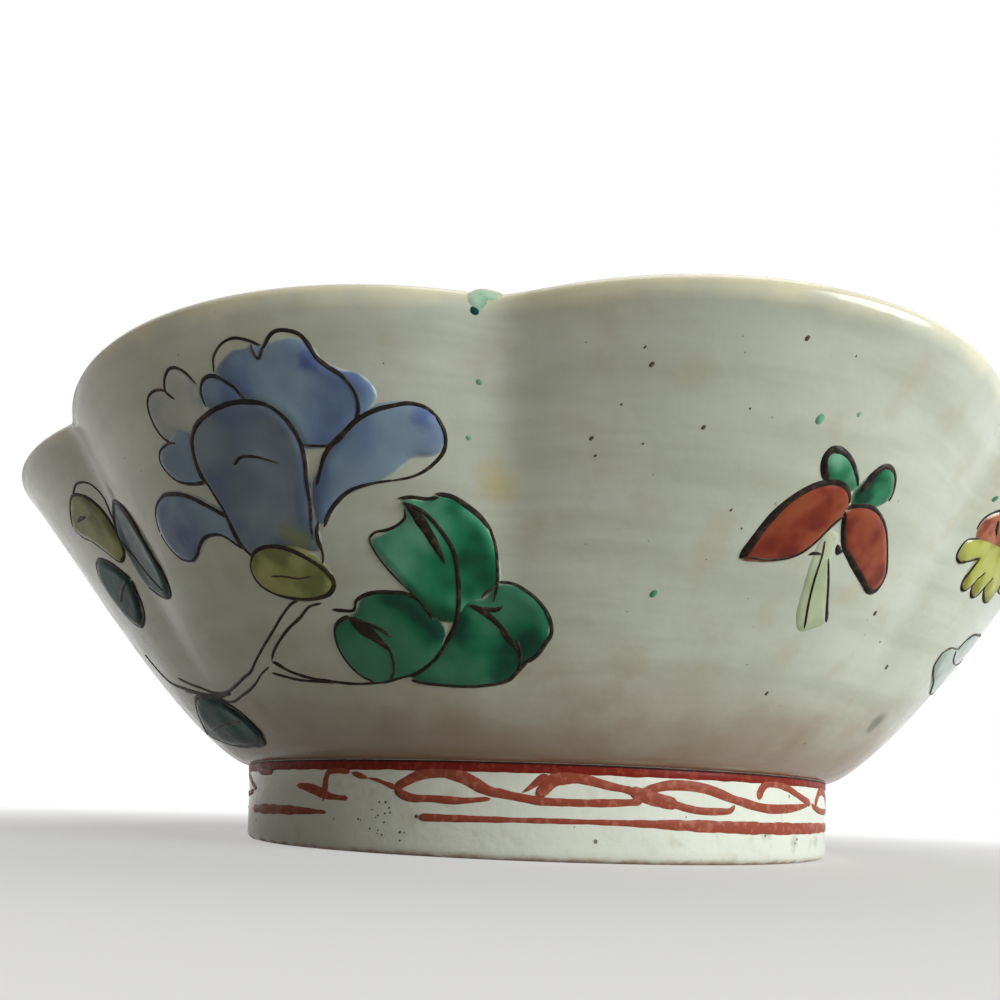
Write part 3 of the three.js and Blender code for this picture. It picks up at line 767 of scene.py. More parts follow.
PEONY_STROKES = [
    ((0.4, 0.46, 0.3), [
        (-1.4, 15.7), (-2.1, 17), (-2.35, 19), (-2.85, 20.4), (-3.3, 21.7), (-3.3, 22.8),
        (-2.8, 24), (-2, 24.7), (-0.7, 25.2), (0.7, 25.5), (2.7, 25.7), (4.4, 25.6)]),
    ((0.32, 0.28, 0.16), [
        (3.4, 25.7), (5.7, 25.3), (6.7, 24.6), (7.3, 23.7), (7.5, 22.7), (7.3, 21.5), (6.8, 20.2),
        (6.4, 18.7), (5.8, 17.2), (5.6, 16.4)]),
    ((0.16, 0.28, 0.22), [(6.5, 17.6), (6, 16.7), (5.75, 15.3), (5.5, 14.7)]),
    ((0.28, 0.2, 0.08), [(0.75, 21.9), (1.7, 22.3), (3, 22.2), (4, 21.9), (5.1, 21.55)]),
    ((0.24, 0.36, 0.24), [
        (-1.9, 15.2), (-1.2, 15.8), (0.2, 16.2), (2.4, 16), (4.4, 15.1), (5.6, 14.1), (5.8, 13.3),
        (5.1, 12.6), (3.5, 12.3), (1.2, 12.45), (-0.9, 13), (-2, 13.8), (-2.2, 14.6), (-1.8, 15.4)]),
    ((0.2, 0.14, 0.1), [(0, 14.2), (1.5, 14.05), (2.7, 13.85), (4.1, 13.9)]),
    ((0.28, 0.28, 0.22), [
        (0, 25.8), (0.1, 26.8), (0.65, 27.35), (1.4, 27.55), (2.3, 27.4), (3, 27), (3.7, 26.4),
        (4, 25.8)]),
    ((0.16, 0.26, 0.24), [
        (-0.1, 27.3), (-0.7, 28.1), (-1.3, 28.5), (-2.1, 28.65), (-2.9, 28.4), (-3.4, 28),
        (-3.7, 27.5), (-3.3, 27.1), (-2.9, 26.8)]),
    ((0.18, 0.24, 0.24), [
        (-3.5, 27.4), (-4.2, 27.65), (-5, 27.75), (-6, 27.6), (-6.7, 27), (-6.85, 26.2),
        (-6.65, 25.3), (-6.2, 24.7), (-5.6, 24.4)]),
    ((0.16, 0.24, 0.3), [
        (-4.7, 24.2), (-5.5, 24.35), (-6.5, 24.3), (-7.3, 24.15), (-7.85, 23.8), (-7.9, 23.3),
        (-7.6, 22.6), (-6.8, 21.9), (-5.8, 21.55), (-4.7, 21.3), (-3.3, 21.25)]),
    ((0.28, 0.32, 0.2), [
        (-2.2, 18.6), (-3.3, 19.25), (-4.5, 19.9), (-5.7, 20.5), (-6.8, 20.9), (-8.2, 21.2),
        (-9.5, 21.35), (-10.8, 21.15), (-11.8, 20.7), (-12.5, 20), (-12.7, 19.2)]),
    ((0.12, 0.28, 0.32), [
        (-12.65, 19), (-12.5, 18.3), (-11.9, 17.5), (-11.2, 16.9), (-10.3, 16.5), (-9.2, 16.4),
        (-8.2, 16.7), (-7.3, 17.2), (-6.2, 17.65), (-5, 17.7), (-3.8, 17.5), (-2.8, 16.9),
        (-2, 16.3), (-1.5, 15.9)]),
    ((0.2, 0.18, 0.24), [
        (2.1, 27.7), (2.55, 28.5), (3.3, 29), (4.1, 29.3), (5.1, 29.4), (6, 29.2), (7.1, 28.75)]),
    ((0.22, 0.22, 0.28), [(6.3, 28.9), (6.4, 28.4), (6.6, 28), (7, 28.3), (7.3, 28.7)]),
    ((0.24, 0.32, 0.24), [
        (7.2, 28.5), (7.9, 29.1), (8.7, 29.45), (9.7, 29.4), (10.5, 29.1), (10.9, 28.5),
        (11.2, 27.7), (11.8, 27.15), (12.6, 26.6), (13.05, 25.9), (13.15, 25.2), (12.9, 24.4),
        (12.4, 23.8)]),
    ((0.3, 0.24, 0.18), [(12.6, 23.9), (11.6, 23.3), (10.7, 22.7), (9.7, 22.35), (8.7, 22.4), (7.7, 22.5)]),
    ((0.32, 0.3, 0.24), [
        (7.55, 19.9), (8.2, 20.7), (8.9, 21.6), (9.9, 22.35), (11.2, 23.1), (12.6, 23.9),
        (14.1, 24.45), (15.5, 24.75), (16.8, 24.9), (17.8, 24.65), (18.35, 24.1)]),
    ((0.3, 0.24, 0.14), [
        (18.25, 24.3), (18.5, 23.3), (18.35, 22.5), (18, 21.9), (17.2, 21.2), (16.2, 20.6),
        (15.1, 20.2), (13.5, 19.95)]),
    ((0.14, 0.28, 0.26), [
        (13.8, 20), (11.6, 19.75), (10.1, 19.4), (8.7, 18.7), (7.6, 17.9), (6.8, 17.1)]),
    ((0.16, 0.18, 0.2), [
        (12.2, 12.3), (11.4, 13.3), (10.75, 14.3), (10.3, 15.4), (10.25, 16.1), (10.85, 16.55),
        (12, 16.75), (13, 17.1), (13.7, 17.6), (13.8, 18.1)]),
    ((0.2, 0.24, 0.24), [(13.6, 18.8), (14.7, 18.9), (15.8, 18.8), (16.7, 18.95)]),
    ((0.24, 0.46, 0.4), [(16.5, 19.15), (17.6, 19), (18.5, 18.4), (19.2, 17.7), (19.6, 16.9)]),
    ((0.24, 0.2, 0.16), [(19.6, 17.3), (19.65, 15.8), (19.4, 14.6), (19, 13.3), (18.7, 12.7), (18.3, 12)]),
    ((0.32, 0.4, 0.24), [
        (13.9, 18.5), (14.9, 18.2), (15.5, 17.7), (16.15, 16.6), (16.5, 15.4), (16.3, 14),
        (15.75, 12.2), (15.1, 10.8), (14.3, 9.75), (13.1, 8.6)]),
    ((0.24, 0.22, 0.28), [
        (13.4, 8.8), (12, 7.7), (10.8, 7.05), (9.7, 6.6), (8.1, 6.3), (6.8, 6.05), (4.9, 5.9),
        (3, 5.95), (1, 6.2), (-1, 6.5), (-3, 7.1), (-4.6, 7.9)]),
    ((0.32, 0.98, 0.74, 0.24), [(14, 18.6), (14.6, 17.8), (15.1, 16.6), (15.4, 15.4), (15.6, 14.5)]),
    ((0.28, 0.24, 0.24), [
        (4.6, 11.4), (5.5, 11.3), (6.6, 11.3), (7.1, 11.9), (8, 12.3), (9.1, 12.5), (10.5, 12.5),
        (11.6, 12.4), (12.4, 12), (12.9, 11.3), (13.15, 10.6)]),
    ((0.24, 0.3, 0.22), [
        (6, 10.9), (4.9, 10.6), (4.1, 10), (3.7, 9.1), (3.7, 8.1), (4.2, 7.1), (4.9, 6.4),
        (5.8, 6)]),
    ((0.2, 0.22, 0.24), [(7.3, 6.2), (8.1, 6.9), (8.45, 7.9), (8.5, 8.9)]),
    ((0.4, 1.24, 0.9, 0.32), [(5.9, 10.8), (6.9, 10.1), (7.7, 9.4), (8.5, 8.4)]),
    ((0.2, 0.4, 0.24), [(7, 10.6), (8.3, 10), (9.2, 9.4)]),
    ((0.2, 0.32, 0.3), [
        (18.9, 13.3), (20.1, 13.2), (21, 12.7), (21.8, 11.9), (22.2, 10.8), (22, 9.7), (21.2, 8.9),
        (20.1, 8), (19.1, 7.5)]),
    ((0.32, 0.3, 0.32), [
        (19.4, 7.7), (18.3, 6.9), (17.4, 6.3), (16.2, 5.95), (15.1, 5.8), (13.5, 5.7), (11.6, 5.8),
        (10.3, 5.9), (9.2, 6.1)]),
    ((0.24, 0.66, 0.5, 0.4), [(16.3, 11.65), (17, 11.4), (17.7, 10.8), (18.3, 10), (18.8, 9)]),
    ((0.2, 0.4, 0.16), [(17.2, 11.5), (18.2, 11.4), (18.9, 11.7)]),
    ((0.16, 0.32, 0.24), [(19.2, 9.3), (19.1, 8.6), (18.8, 7.6), (18.3, 6.9)]),
    ((0.4, 0.58, 0.24), [(18.1, 10), (18.4, 9.3), (19, 8.6)]),
    ((0.14, 0.2, 0.14), [(17.4, 12.1), (18.1, 12.7), (18.9, 13.1)]),
    ((0.22, 0.28, 0.3), [
        (1.7, 12.3), (0.6, 12), (-1, 11.2), (-3, 10.1), (-5, 9.1), (-7, 8.1), (-8.4, 7.4),
        (-10, 7), (-12, 6.5), (-14, 6.15), (-16, 6.1), (-18, 6.35), (-20, 6.9), (-22, 7.4),
        (-24.5, 8.2)]),
    ((0.2, 0.26, 0.24), [
        (3.8, 11.9), (2.4, 11.7), (1, 11), (-1, 10.2), (-3, 9.2), (-4, 8.6), (-4.6, 8.1)]),
    ((0.16, 0.26, 0.24), [
        (-5.4, 7.6), (-7, 7.1), (-8.4, 6.5), (-10, 6), (-12, 5.6), (-13.6, 5.3), (-14.6, 5.2)]),
    ((0.24, 0.24, 0.24), [(-13.9, 5.25), (-15.4, 5.3), (-17, 5.75), (-19, 6.2), (-21.5, 6.5), (-24.6, 7)]),
    ((0.3, 0.24, 0.16), [(-4.7, 7.95), (-4, 7.75), (-3.2, 7.2), (-2, 6.8), (-0.4, 6.4), (1, 6.25)]),
    ((0.24, 0.24, 0.2), [(-5.4, 7.1), (-4, 6.75), (-2.4, 6.4), (-0.4, 6.2), (1.6, 6.05)]),
]

SPRIG = {
    "left_petal": ("red", [
        (-2.1, 15.6), (-1.2, 17.4), (0.4, 19.5), (2.5, 20.7), (4.6, 20.9), (5.7, 20.4),
        (5.6, 19.3), (4.6, 18), (3.2, 16.5), (1, 15.7), (-0.7, 15.5)]),
    "right_petal": ("red", [
        (6.1, 19.3), (7.2, 20), (9, 20.1), (11, 19.2), (12.6, 17.8), (13.7, 16.4), (13.4, 15.2),
        (12.3, 15), (10.6, 15.7), (8.4, 16.8), (7, 17.8)]),
    "left_leaf": ("green", [
        (2.1, 22.2), (2.7, 21.5), (4, 21.3), (5.9, 21.1), (5.9, 21.6), (5, 22.4), (3.8, 22.9),
        (2.6, 22.9)]),
    "right_leaf": ("green", [
        (6.2, 20.9), (6.8, 21.7), (7.7, 22.5), (8.8, 22.8), (9.7, 22.3), (10.1, 21.4), (9.6, 20.8),
        (8, 20.3), (6.4, 20.2)]),
    "stem": ("pale_green", [
        (4.9, 17.8), (6, 17.8), (6.3, 16.2), (7.6, 13.8), (8.6, 12.2), (7.5, 11.6), (6.2, 11.3),
        (5.3, 12.2), (4.9, 13.9), (4.6, 15.7), (4.6, 17)]),
}
SPRIG_STROKES = [
    ((0.7, 0.4, 0.36), [
        (-2.3, 15.4), (-1.85, 16.4), (-1.3, 17.6), (-0.6, 18.7), (0.4, 19.7), (1.6, 20.5),
        (2.7, 20.95), (3.9, 21.15), (4.9, 21), (5.6, 20.6), (5.85, 20.1)]),
    ((0.34, 0.24, 0.14), [
        (5.9, 19.2), (5.1, 18.6), (4.6, 18), (4, 17.2), (3.1, 16.4), (2.1, 15.9), (0.9, 15.65),
        (-0.6, 15.55), (-1.8, 15.6)]),
    ((0.3, 0.36, 0.4), [
        (5.8, 19.7), (6.9, 20.1), (7.9, 20.25), (8.9, 20.2), (9.9, 19.95), (10.9, 19.5),
        (11.7, 18.9), (12.6, 18), (13.3, 17.1), (13.8, 16.4), (13.7, 15.7)]),
    ((0.5, 0.5, 0.34), [
        (13.8, 15.9), (13.3, 15.1), (12.4, 14.95), (11.7, 15.2), (10.6, 15.65), (9.4, 16.15),
        (8.3, 16.7), (7.3, 17.2), (6.6, 18), (6.1, 18.9), (5.9, 19.5)]),
    ((0.5, 0.7, 0.3), [(6.4, 17.3), (6.9, 16.9), (7.3, 17)]),
    ((0.5, 0.5, 0.3), [
        (3, 21.1), (2.3, 21.6), (1.9, 22.4), (2.2, 22.95), (3, 23.1), (3.9, 22.9), (4.7, 22.5),
        (5.4, 21.9), (6.1, 21.3)]),
    ((0.5, 0.36, 0.24), [
        (6.5, 20.9), (6.8, 21.5), (7.2, 22.1), (7.9, 22.8), (8.7, 23), (9.5, 22.8), (10.1, 22.3),
        (10.35, 21.6), (10.3, 21)]),
    ((0.14, 0.24, 0.24), [(4.9, 17.4), (5.2, 16.4), (5.4, 14.8), (5.8, 13.2), (6.5, 11.4)]),
    ((0.16, 0.3, 0.45), [(6, 16.3), (7, 14.9), (8.1, 13.1), (8.8, 12.1)]),
    ((0.3, 0.24, 0.1), [(3.9, 16.3), (4.6, 16.5), (5.3, 16.5)]),
]

BUD = {
    "bud": ("yellow_green", [
        (12.5, 23.8), (15, 25.6), (16.7, 26.1), (18.6, 25.5), (19.6, 24.1), (19.6, 22),
        (18.6, 20), (17.3, 19.3), (15.9, 20.8), (14.6, 22)]),
    "right_leaf": ("dark_green", [
        (20.1, 21.8), (22.3, 23.6), (24.3, 23.5), (25.9, 22), (25.1, 16.4), (22.5, 14.8),
        (19.4, 16.4), (19.3, 19.2)]),
    "left_leaf": ("dark_green", [
        (16.8, 17.4), (15, 19.4), (12.6, 20.2), (10, 18.8), (10.1, 14.9), (12.2, 13.7), (15, 15)]),
    "low_leaf": ("dark_green", [
        (18.6, 2.4), (18.9, 3.4), (18.3, 4.5), (16.8, 5.4), (14.5, 6), (11.7, 5.9), (8, 4.7),
        (4, 3.1), (8, 1.9), (13, 1.5), (17, 1.6)]),
}
BUD_STROKES = [
    ((0.3, 0.36, 0.3), [
        (12.3, 24), (15, 25.65), (16.7, 26.3), (18.75, 25.65), (19.8, 24.2), (19.8, 21.9),
        (18.75, 19.8), (17.3, 19.2)]),
    ((0.3, 0.3, 0.24), [(17.3, 19.2), (15.8, 20.65), (14.6, 21.9), (12.7, 22.9), (12.3, 24)]),
    ((0.24, 0.3, 0.2), [(16.5, 26.2), (18.75, 27), (20.6, 26.5), (21.3, 25), (20.6, 23.15), (20, 21.7)]),
    ((0.3, 0.5, 0.3), [(14.6, 24.1), (15.7, 24.2), (16.8, 24.1)]),
    ((0.3, 0.44, 0.3), [
        (19.6, 21.4), (21, 23.2), (23, 24), (24.8, 23.4), (26, 21.9), (25.8, 19), (25.1, 16.2),
        (23.6, 14.8), (21.6, 14.9), (19.4, 16.3)]),
    ((0.4, 0.6, 0.3), [(19.8, 21), (20.6, 19), (21.6, 17), (23, 15.4)]),
    ((0.3, 0.44, 0.3), [
        (17, 17.6), (15.2, 19.6), (12.8, 20.4), (10.2, 19.4), (9.5, 17), (9.9, 14.8), (11.4, 13.6),
        (13.6, 13.8), (15.6, 15), (17, 17.4)]),
    ((0.3, 0.5, 0.3), [(16.4, 17.6), (14, 17), (11.8, 16.2)]),
    ((0.3, 0.4, 0.36), [
        (4, 3), (8, 4.8), (11.5, 6.1), (14.5, 6.2), (17, 5.6), (18.8, 4.5), (19.1, 3.3), (18.6, 2.2)]),
    ((0.3, 0.4, 0.3), [(18.6, 2.3), (17, 1.5), (13, 1.3), (8, 1.7), (4, 3)]),
    ((0.24, 0.34, 0.2), [(17.6, 3.6), (13, 3.5), (8, 3.2)]),
    ((0.4, 0.5, 0.4), [
        (5.5, 11.4), (5.9, 10), (6.9, 8.5), (10.7, 7.2), (14, 6.4), (17.6, 5.9), (20.4, 6)]),
]

DAISY = {
    "petals": ("yellow", [
        (-19.7, 21.2), (-18.8, 19.8), (-16.9, 20.6), (-16.4, 18.9), (-15.2, 17.8), (-14.3, 19.3),
        (-13.8, 18.2), (-12.6, 17.7), (-12.1, 19.2), (-10.4, 18.2), (-8.6, 18.1), (-8.6, 19.3),
        (-5, 19.9), (-4.3, 21.5), (-6.4, 22.3), (-9, 22.3), (-16.8, 22.4), (-18.8, 21.8)]),
    "heart": ("orange", [
        (-18.4, 21.9), (-19.3, 22.6), (-19.4, 23.5), (-18.2, 24.3), (-15, 24.9), (-11, 24.9),
        (-7.6, 24.1), (-6.6, 22.9), (-8.2, 22), (-12, 21.7)]),
    "leaf": ("sea_green", [
        (-9.5, 12.3), (-8.6, 13.2), (-5.6, 13.7), (-4.8, 15), (-1, 15.9), (4, 16.6), (8.2, 16.8),
        (8, 13.1), (4, 10.7), (-1.2, 9.8), (-7.8, 11.1)]),
}
DAISY_STROKES = [
    ((0.14, 0.22, 0.24), [(-18.6, 22), (-19.9, 21.5), (-19.8, 20.3), (-18.7, 19.7), (-16.7, 20.6)]),
    ((0.24, 0.24, 0.16), [(-16.7, 20.5), (-17.8, 20), (-18.8, 19.9)]),
    ((0.16, 0.22, 0.2), [
        (-16.7, 20.5), (-16.6, 19.3), (-16.4, 18.4), (-15.7, 17.8), (-14.8, 17.9), (-14.5, 18.6),
        (-14.4, 19.8)]),
    ((0.16, 0.22, 0.2), [
        (-14.4, 19.6), (-14.4, 18.6), (-13.8, 17.9), (-12.6, 17.6), (-11.9, 18.1), (-12, 18.8),
        (-12.4, 19.7)]),
    ((0.16, 0.22, 0.2), [
        (-12.4, 19.4), (-11.6, 18.6), (-10.3, 18), (-8.7, 17.9), (-8.1, 18.5), (-8.8, 19.3),
        (-9.8, 20)]),
    ((0.16, 0.22, 0.16), [(-8.4, 19.3), (-6.4, 19.3), (-4.3, 20.3), (-4.6, 21.9)]),
    ((0.14, 0.3, 0.26, 0.14), [(-19.7, 22.6), (-19.8, 23.5), (-19, 24.4), (-17.6, 24.8), (-15, 25.1)]),
    ((0.2, 0.5, 0.2), [(-18.2, 23.8), (-17.5, 23.2), (-16.9, 22.7)]),
    ((0.14, 0.2, 0.2), [
        (-5.9, 13.7), (-7, 13.5), (-8.2, 13.4), (-9, 13.1), (-9.6, 12.6), (-9.3, 11.7), (-7.9, 11),
        (-5, 10.4), (-1, 9.7), (4, 10.5), (8, 12.8), (8.8, 14.8), (8.3, 16.8)]),
    ((0.2, 0.26, 0.2), [
        (-5.8, 13.6), (-5.4, 14.6), (-4.4, 15.3), (-1, 16), (4, 16.8), (8.3, 16.9)]),
    ((0.1, 0.2, 0.12), [(-6.3, 13.4), (-5.4, 13), (-3.6, 12.7), (-1, 12.8)]),
    ((0.16, 0.24, 0.16), [(0, 12.9), (3.6, 13.9), (7, 15.2)]),
]

# From the left of the front to the right, and the same again round the back. Each spray has its
# enamels, its brushwork and how far it is moved across its lobe.
SPRAYS = [
    ("bud", BUD, BUD_STROKES, 1.2),
    ("peony", PEONY, PEONY_STROKES, 0.3),
    ("sprig", SPRIG, SPRIG_STROKES, -0.35),
    ("daisy", DAISY, DAISY_STROKES, 0),
]
for lobe in range(LOBES):
    spray, fields, strokes, shift = SPRAYS[lobe % len(SPRAYS)]
    copy = lobe // len(SPRAYS) + 1
    middle = (lobe + 0.5 - len(SPRAYS) / 2) * LOBE_ANGLE

    def surface(across, up, lift):
        return on_lobe(middle, across + shift, up, lift)

    enamels = []
    for field, (colour, outline) in fields.items():
        edge = enamel_outline(outline)
        thickness = WASH if colour in WASHES else ENAMEL
        points, faces, depth = enamel_mesh(edge, thickness, surface)
        node = f"{spray}_{copy}_{field}"
        glass = VARIANTS.get(field, VARIANTS.get(f"{field}_of_{spray}", ENAMELS[colour]))
        add_piece(node + "_enamel", points, faces, glass, colour, [node], depth=depth)
        enamels.append((edge, thickness))
    points, faces, press = stroke_mesh(strokes, surface, enamels)
    add_piece(f"{spray}_{copy}_brushwork", points, faces, INK, None, press=press)


# Red lines and running scroll round the foot. Its places are degrees round from the front.

def round_foot(path):
    return [(math.radians(degrees) * FOOT_RADIUS, z) for degrees, z in path]


BAND_HEIGHT = 7.97
JOINT_LINE_HEIGHT = 8.4
LINE_HEIGHT = 3.45
LINE_WAVE = 0.06  # how far the line rises and falls
LINES = [
    (-58, -31, (0.9, 1.1, 0.95, 0.35)),
    (-14, 98, (0.8, 0.5, 0.5, 1.15, 1.25, 1.2, 1, 0.8, 0.5)),
    (104, 206, (0.7, 1, 0.8, 0.9, 0.4)),
    (213, 290, (0.6, 0.9, 1.1, 0.5)),
]
all_round = np.linspace(-182, 180, 60)
# The joint line is dark brown: partly a stain, partly painted shadow under the overhanging wall.
for name, height, widths, material, nodes in (
        ("painted_band", BAND_HEIGHT, (0.95, 1, 1.05, 0.95, 0.75, 0.9, 0.95), BAND_RED, ["foot_band"]),
        ("joint_line", JOINT_LINE_HEIGHT, (0.3, 0.35, 0.3), JOINT_BROWN, [])):
    path = round_foot([(degrees, height) for degrees in all_round])
    points, faces, press = stroke_mesh([(widths, path)], on_foot)
    add_piece(name, points, faces, material, "foot_red", nodes, press=press)
for i, (start, end, widths) in enumerate(LINES):
    path = [
        (degrees, LINE_HEIGHT + LINE_WAVE * math.sin(degrees / 9))
        for degrees in np.linspace(start, end, 24)]
    points, faces, press = stroke_mesh([(widths, round_foot(path))], on_foot)
    name = f"foot_line_{i + 1}"
    add_piece("painted_" + name, points, faces, SCROLL_RED, "foot_red", [name], press=press)

# The scroll as the photograph shows it, and then the same loop again and again round the back
FRONT_SCROLL = [
    ((0.6, 1.1, 0.6), [(-56, 7.9), (-53.8, 7.6), (-50, 7.4), (-47.1, 7.3)]),
    ((0.5, 0.95, 1.1, 0.6, 0.45), [
        (-38.6, 5.95), (-36.1, 5.8), (-33.5, 5.5), (-31.6, 5.15), (-29.8, 4.95), (-27.7, 4.85),
        (-26.5, 4.85)]),
    ((0.9, 0.75, 0.75, 0.55), [
        (-31.6, 5.2), (-31.4, 5.9), (-31.2, 6.7), (-30.7, 7.25), (-29.1, 7.45), (-26.2, 7.3)]),
    ((0.4, 0.7, 0.25), [(-25.8, 7.2), (-23.9, 6.9), (-22.7, 6.75)]),
    ((0.2, 0.4, 0.6), [(-22.7, 6.75), (-20.9, 6.55), (-19.2, 6.2), (-17.8, 5.9)]),
    ((0.4, 0.45, 0.25), [(-27.2, 5.1), (-26.8, 4.6)]),
    ((0.6, 0.5, 0.25), [(-31.6, 5.1), (-31.8, 4.5)]),
    ((0.9, 1, 1.1, 1.25, 0.55), [
        (-18, 5.9), (-16.2, 6.5), (-14.3, 7.05), (-12.4, 7.35), (-9.9, 7.35), (-7.8, 7.1),
        (-6.3, 6.7), (-4.6, 6.15), (-3.1, 5.8), (-0.6, 5.6)]),
    ((0.9, 0.75, 0.7, 0.4), [
        (-18, 5.9), (-16.8, 5.35), (-15.1, 5.05), (-12.3, 5.05), (-7.8, 4.95), (-3.3, 5.2)]),
    ((0.9, 0.75, 0.75, 0.7), [
        (-3.1, 5.85), (-0.6, 5.55), (1.4, 5.35), (3.7, 5.15), (7.9, 5.1), (12.2, 5.15),
        (16.7, 5.3), (18.5, 5.4)]),
    ((0.3, 0.6, 0.9), [(1.3, 5.85), (2.5, 6.4), (3.7, 7), (4.8, 7.4)]),
    ((1.1, 1.4, 1, 0.7, 0.75), [
        (3.2, 5.6), (4.1, 6.1), (5.1, 6.8), (7, 7.3), (9.3, 7.25), (11.6, 6.95), (13.7, 6.65),
        (15.7, 6.45), (17.4, 6.15), (19.4, 6)]),
    ((0.75, 1.05, 1, 0.9, 0.95, 0.4), [
        (15.7, 6.55), (18.2, 6.1), (20, 6.55), (22.2, 6.9), (24.5, 7), (26.9, 6.95), (29.4, 6.75),
        (31.7, 6.4), (34.1, 6), (36.6, 5.7), (38.8, 5.45), (41.7, 5.25), (45.5, 5.25),
        (51.4, 5.5), (55.7, 5.85)]),
    ((1.1, 1.5, 1), [(16.6, 6.3), (19.1, 5.9), (21.9, 5.5), (24.2, 5.3)]),
    ((0.75, 0.75, 0.6), [
        (22.2, 5.4), (24.2, 5.2), (25.6, 5), (28, 4.8), (31.7, 4.8), (33.9, 4.95), (34.6, 5.4)]),
    ((1.05, 0.9, 0.75, 0.9), [
        (40, 6.05), (40.2, 6.6), (41, 7.25), (42.2, 7.65), (44.4, 7.7), (47.3, 7.4), (50, 6.95),
        (53, 6.45), (56.7, 5.95)]),
]
LOOP = [
    ((0.9, 1.15, 0.9, 0.7), [
        (0, 5.6), (1, 6.3), (2.6, 7), (5, 7.35), (8, 7.2), (11, 6.7), (14, 6.1), (17, 5.6)]),
    ((0.7, 0.75, 0.6), [(-2, 5.7), (1, 5.3), (5, 5.1), (10, 5.1), (14.5, 5.35)]),
]
LOOPS = 13
FIRST_LOOP = 59
LOOP_PITCH = 18.95
scroll = [(widths, round_foot(path)) for widths, path in FRONT_SCROLL]
rng = np.random.default_rng(4)
for loop in range(LOOPS):
    start = FIRST_LOOP + LOOP_PITCH * loop + rng.uniform(-0.6, 0.6)
    wide, high = rng.uniform(0.94, 1.06), rng.uniform(-0.12, 0.12)
    for widths, path in LOOP:
        moved = [(start + wide * degrees, z + high) for degrees, z in path]
        scroll.append((widths, round_foot(moved)))
points, faces, press = stroke_mesh(scroll, on_foot)
add_piece("foot_scroll", points, faces, SCROLL_RED, "foot_red", press=press)


# Drops of green enamel and specks that fell on the glaze

DROP_HALF_HEIGHT = 0.42  # share of its size across
DROP_TILT = 30
DROP_CORNERS = 8
DROP_DEPTH = 0.3  # its colour is as full as an enamel's this much further inside


def add_drops(name, surface, drops, material, slot=None):
    """Small domed drops, each given by its place on a surface and its size across."""
    points, faces, depths = [], [], []
    count = 0
    for across, up, size in drops:
        oval = ellipse(across, up, size / 2, size * DROP_HALF_HEIGHT, DROP_TILT, DROP_CORNERS)
        edge = curve_through(oval, closed=True)
        made, made_faces, depth = enamel_mesh(edge, DROP, surface)
        points.append(made)
        depths.append(depth + DROP_DEPTH)
        faces += [tuple(i + count for i in face) for face in made_faces]
        count += len(made)
    depth = np.concatenate(depths)
    add_piece(name, np.vstack(points), faces, material, slot, depth=depth, press=depth)


MINT_BLOB = [
    (22.9, 31), (23, 31.9), (23.6, 32.5), (24.4, 32.5), (25.2, 32.1), (24.8, 31.5), (24.1, 31.1),
    (23.5, 30.7)]
on_left_lobe = partial(on_lobe, -LOBE_ANGLE / 2)
on_right_lobe = partial(on_lobe, LOBE_ANGLE / 2)
on_far_right_lobe = partial(on_lobe, 1.5 * LOBE_ANGLE)
THIN_GREEN = VARIANTS["left_leaf_of_sprig"]
points, faces, depth = enamel_mesh(curve_through(MINT_BLOB, closed=True), WASH, on_left_lobe)
add_piece("mint_blob", points, faces, MINT, "green", depth=depth)
add_drops("dark_drop", on_left_lobe, [(23.2, 30.8, 0.75)], ENAMELS["dark_green"], "green")
add_drops("green_drops_left", on_left_lobe, [(22.1, 26.5, 0.6), (20.3, 22.9, 0.55)], THIN_GREEN, "green")
add_drops("green_drops_right", on_right_lobe, [
    (-0.1, 24.6, 0.9), (3.2, 25.4, 0.55), (-8.7, 12.6, 0.75)], THIN_GREEN, "green")
add_drops("green_drops_far_right", on_far_right_lobe, [(-20.2, 25.3, 0.8)], THIN_GREEN, "green")
add_drops("specks_left", on_left_lobe, [
    (16.1, 27.3, 0.3), (18.7, 28.8, 0.22), (21.3, 29, 0.22), (19.3, 27.5, 0.22), (9.7, 2.3, 0.22)], GRIT)
add_drops("specks_right", on_right_lobe, [
    (-14.8, 27.9, 0.4), (-14.9, 17.6, 0.25), (-4.8, 18.4, 0.4), (-16.7, 22.6, 0.5),
    (-13, 22.2, 0.35), (-5.4, 8.5, 0.25), (-6, 24.6, 0.35), (1, 28.5, 0.35), (-18.8, 28.4, 0.3),
    (-0.6, 12.8, 0.3), (-5.4, 15.1, 0.3), (-16.1, 21.5, 0.4), (-15.3, 24.6, 0.35),
    (-6.9, 26, 0.25), (-11.3, 17.4, 0.25), (-8.3, 28.6, 0.3), (-17.7, 17.6, 0.25),
    (-11.2, 22.1, 0.25), (3.7, 26.9, 0.25), (-9.7, 28.9, 0.25), (-11, 25.4, 0.25),
    (-16.3, 16.2, 0.25), (-10.3, 11.3, 0.3), (-14, 26.9, 0.55), (-3.5, 28.9, 0.55), (-9, 23.3, 0.5),
    (14.5, 13.6, 0.65), (20.6, 10.1, 0.65), (17.5, 11.8, 0.4), (4.9, 12.9, 0.3),
    (5.4, 6.3, 0.55), (-3.4, 17.3, 0.35)], GRIT)
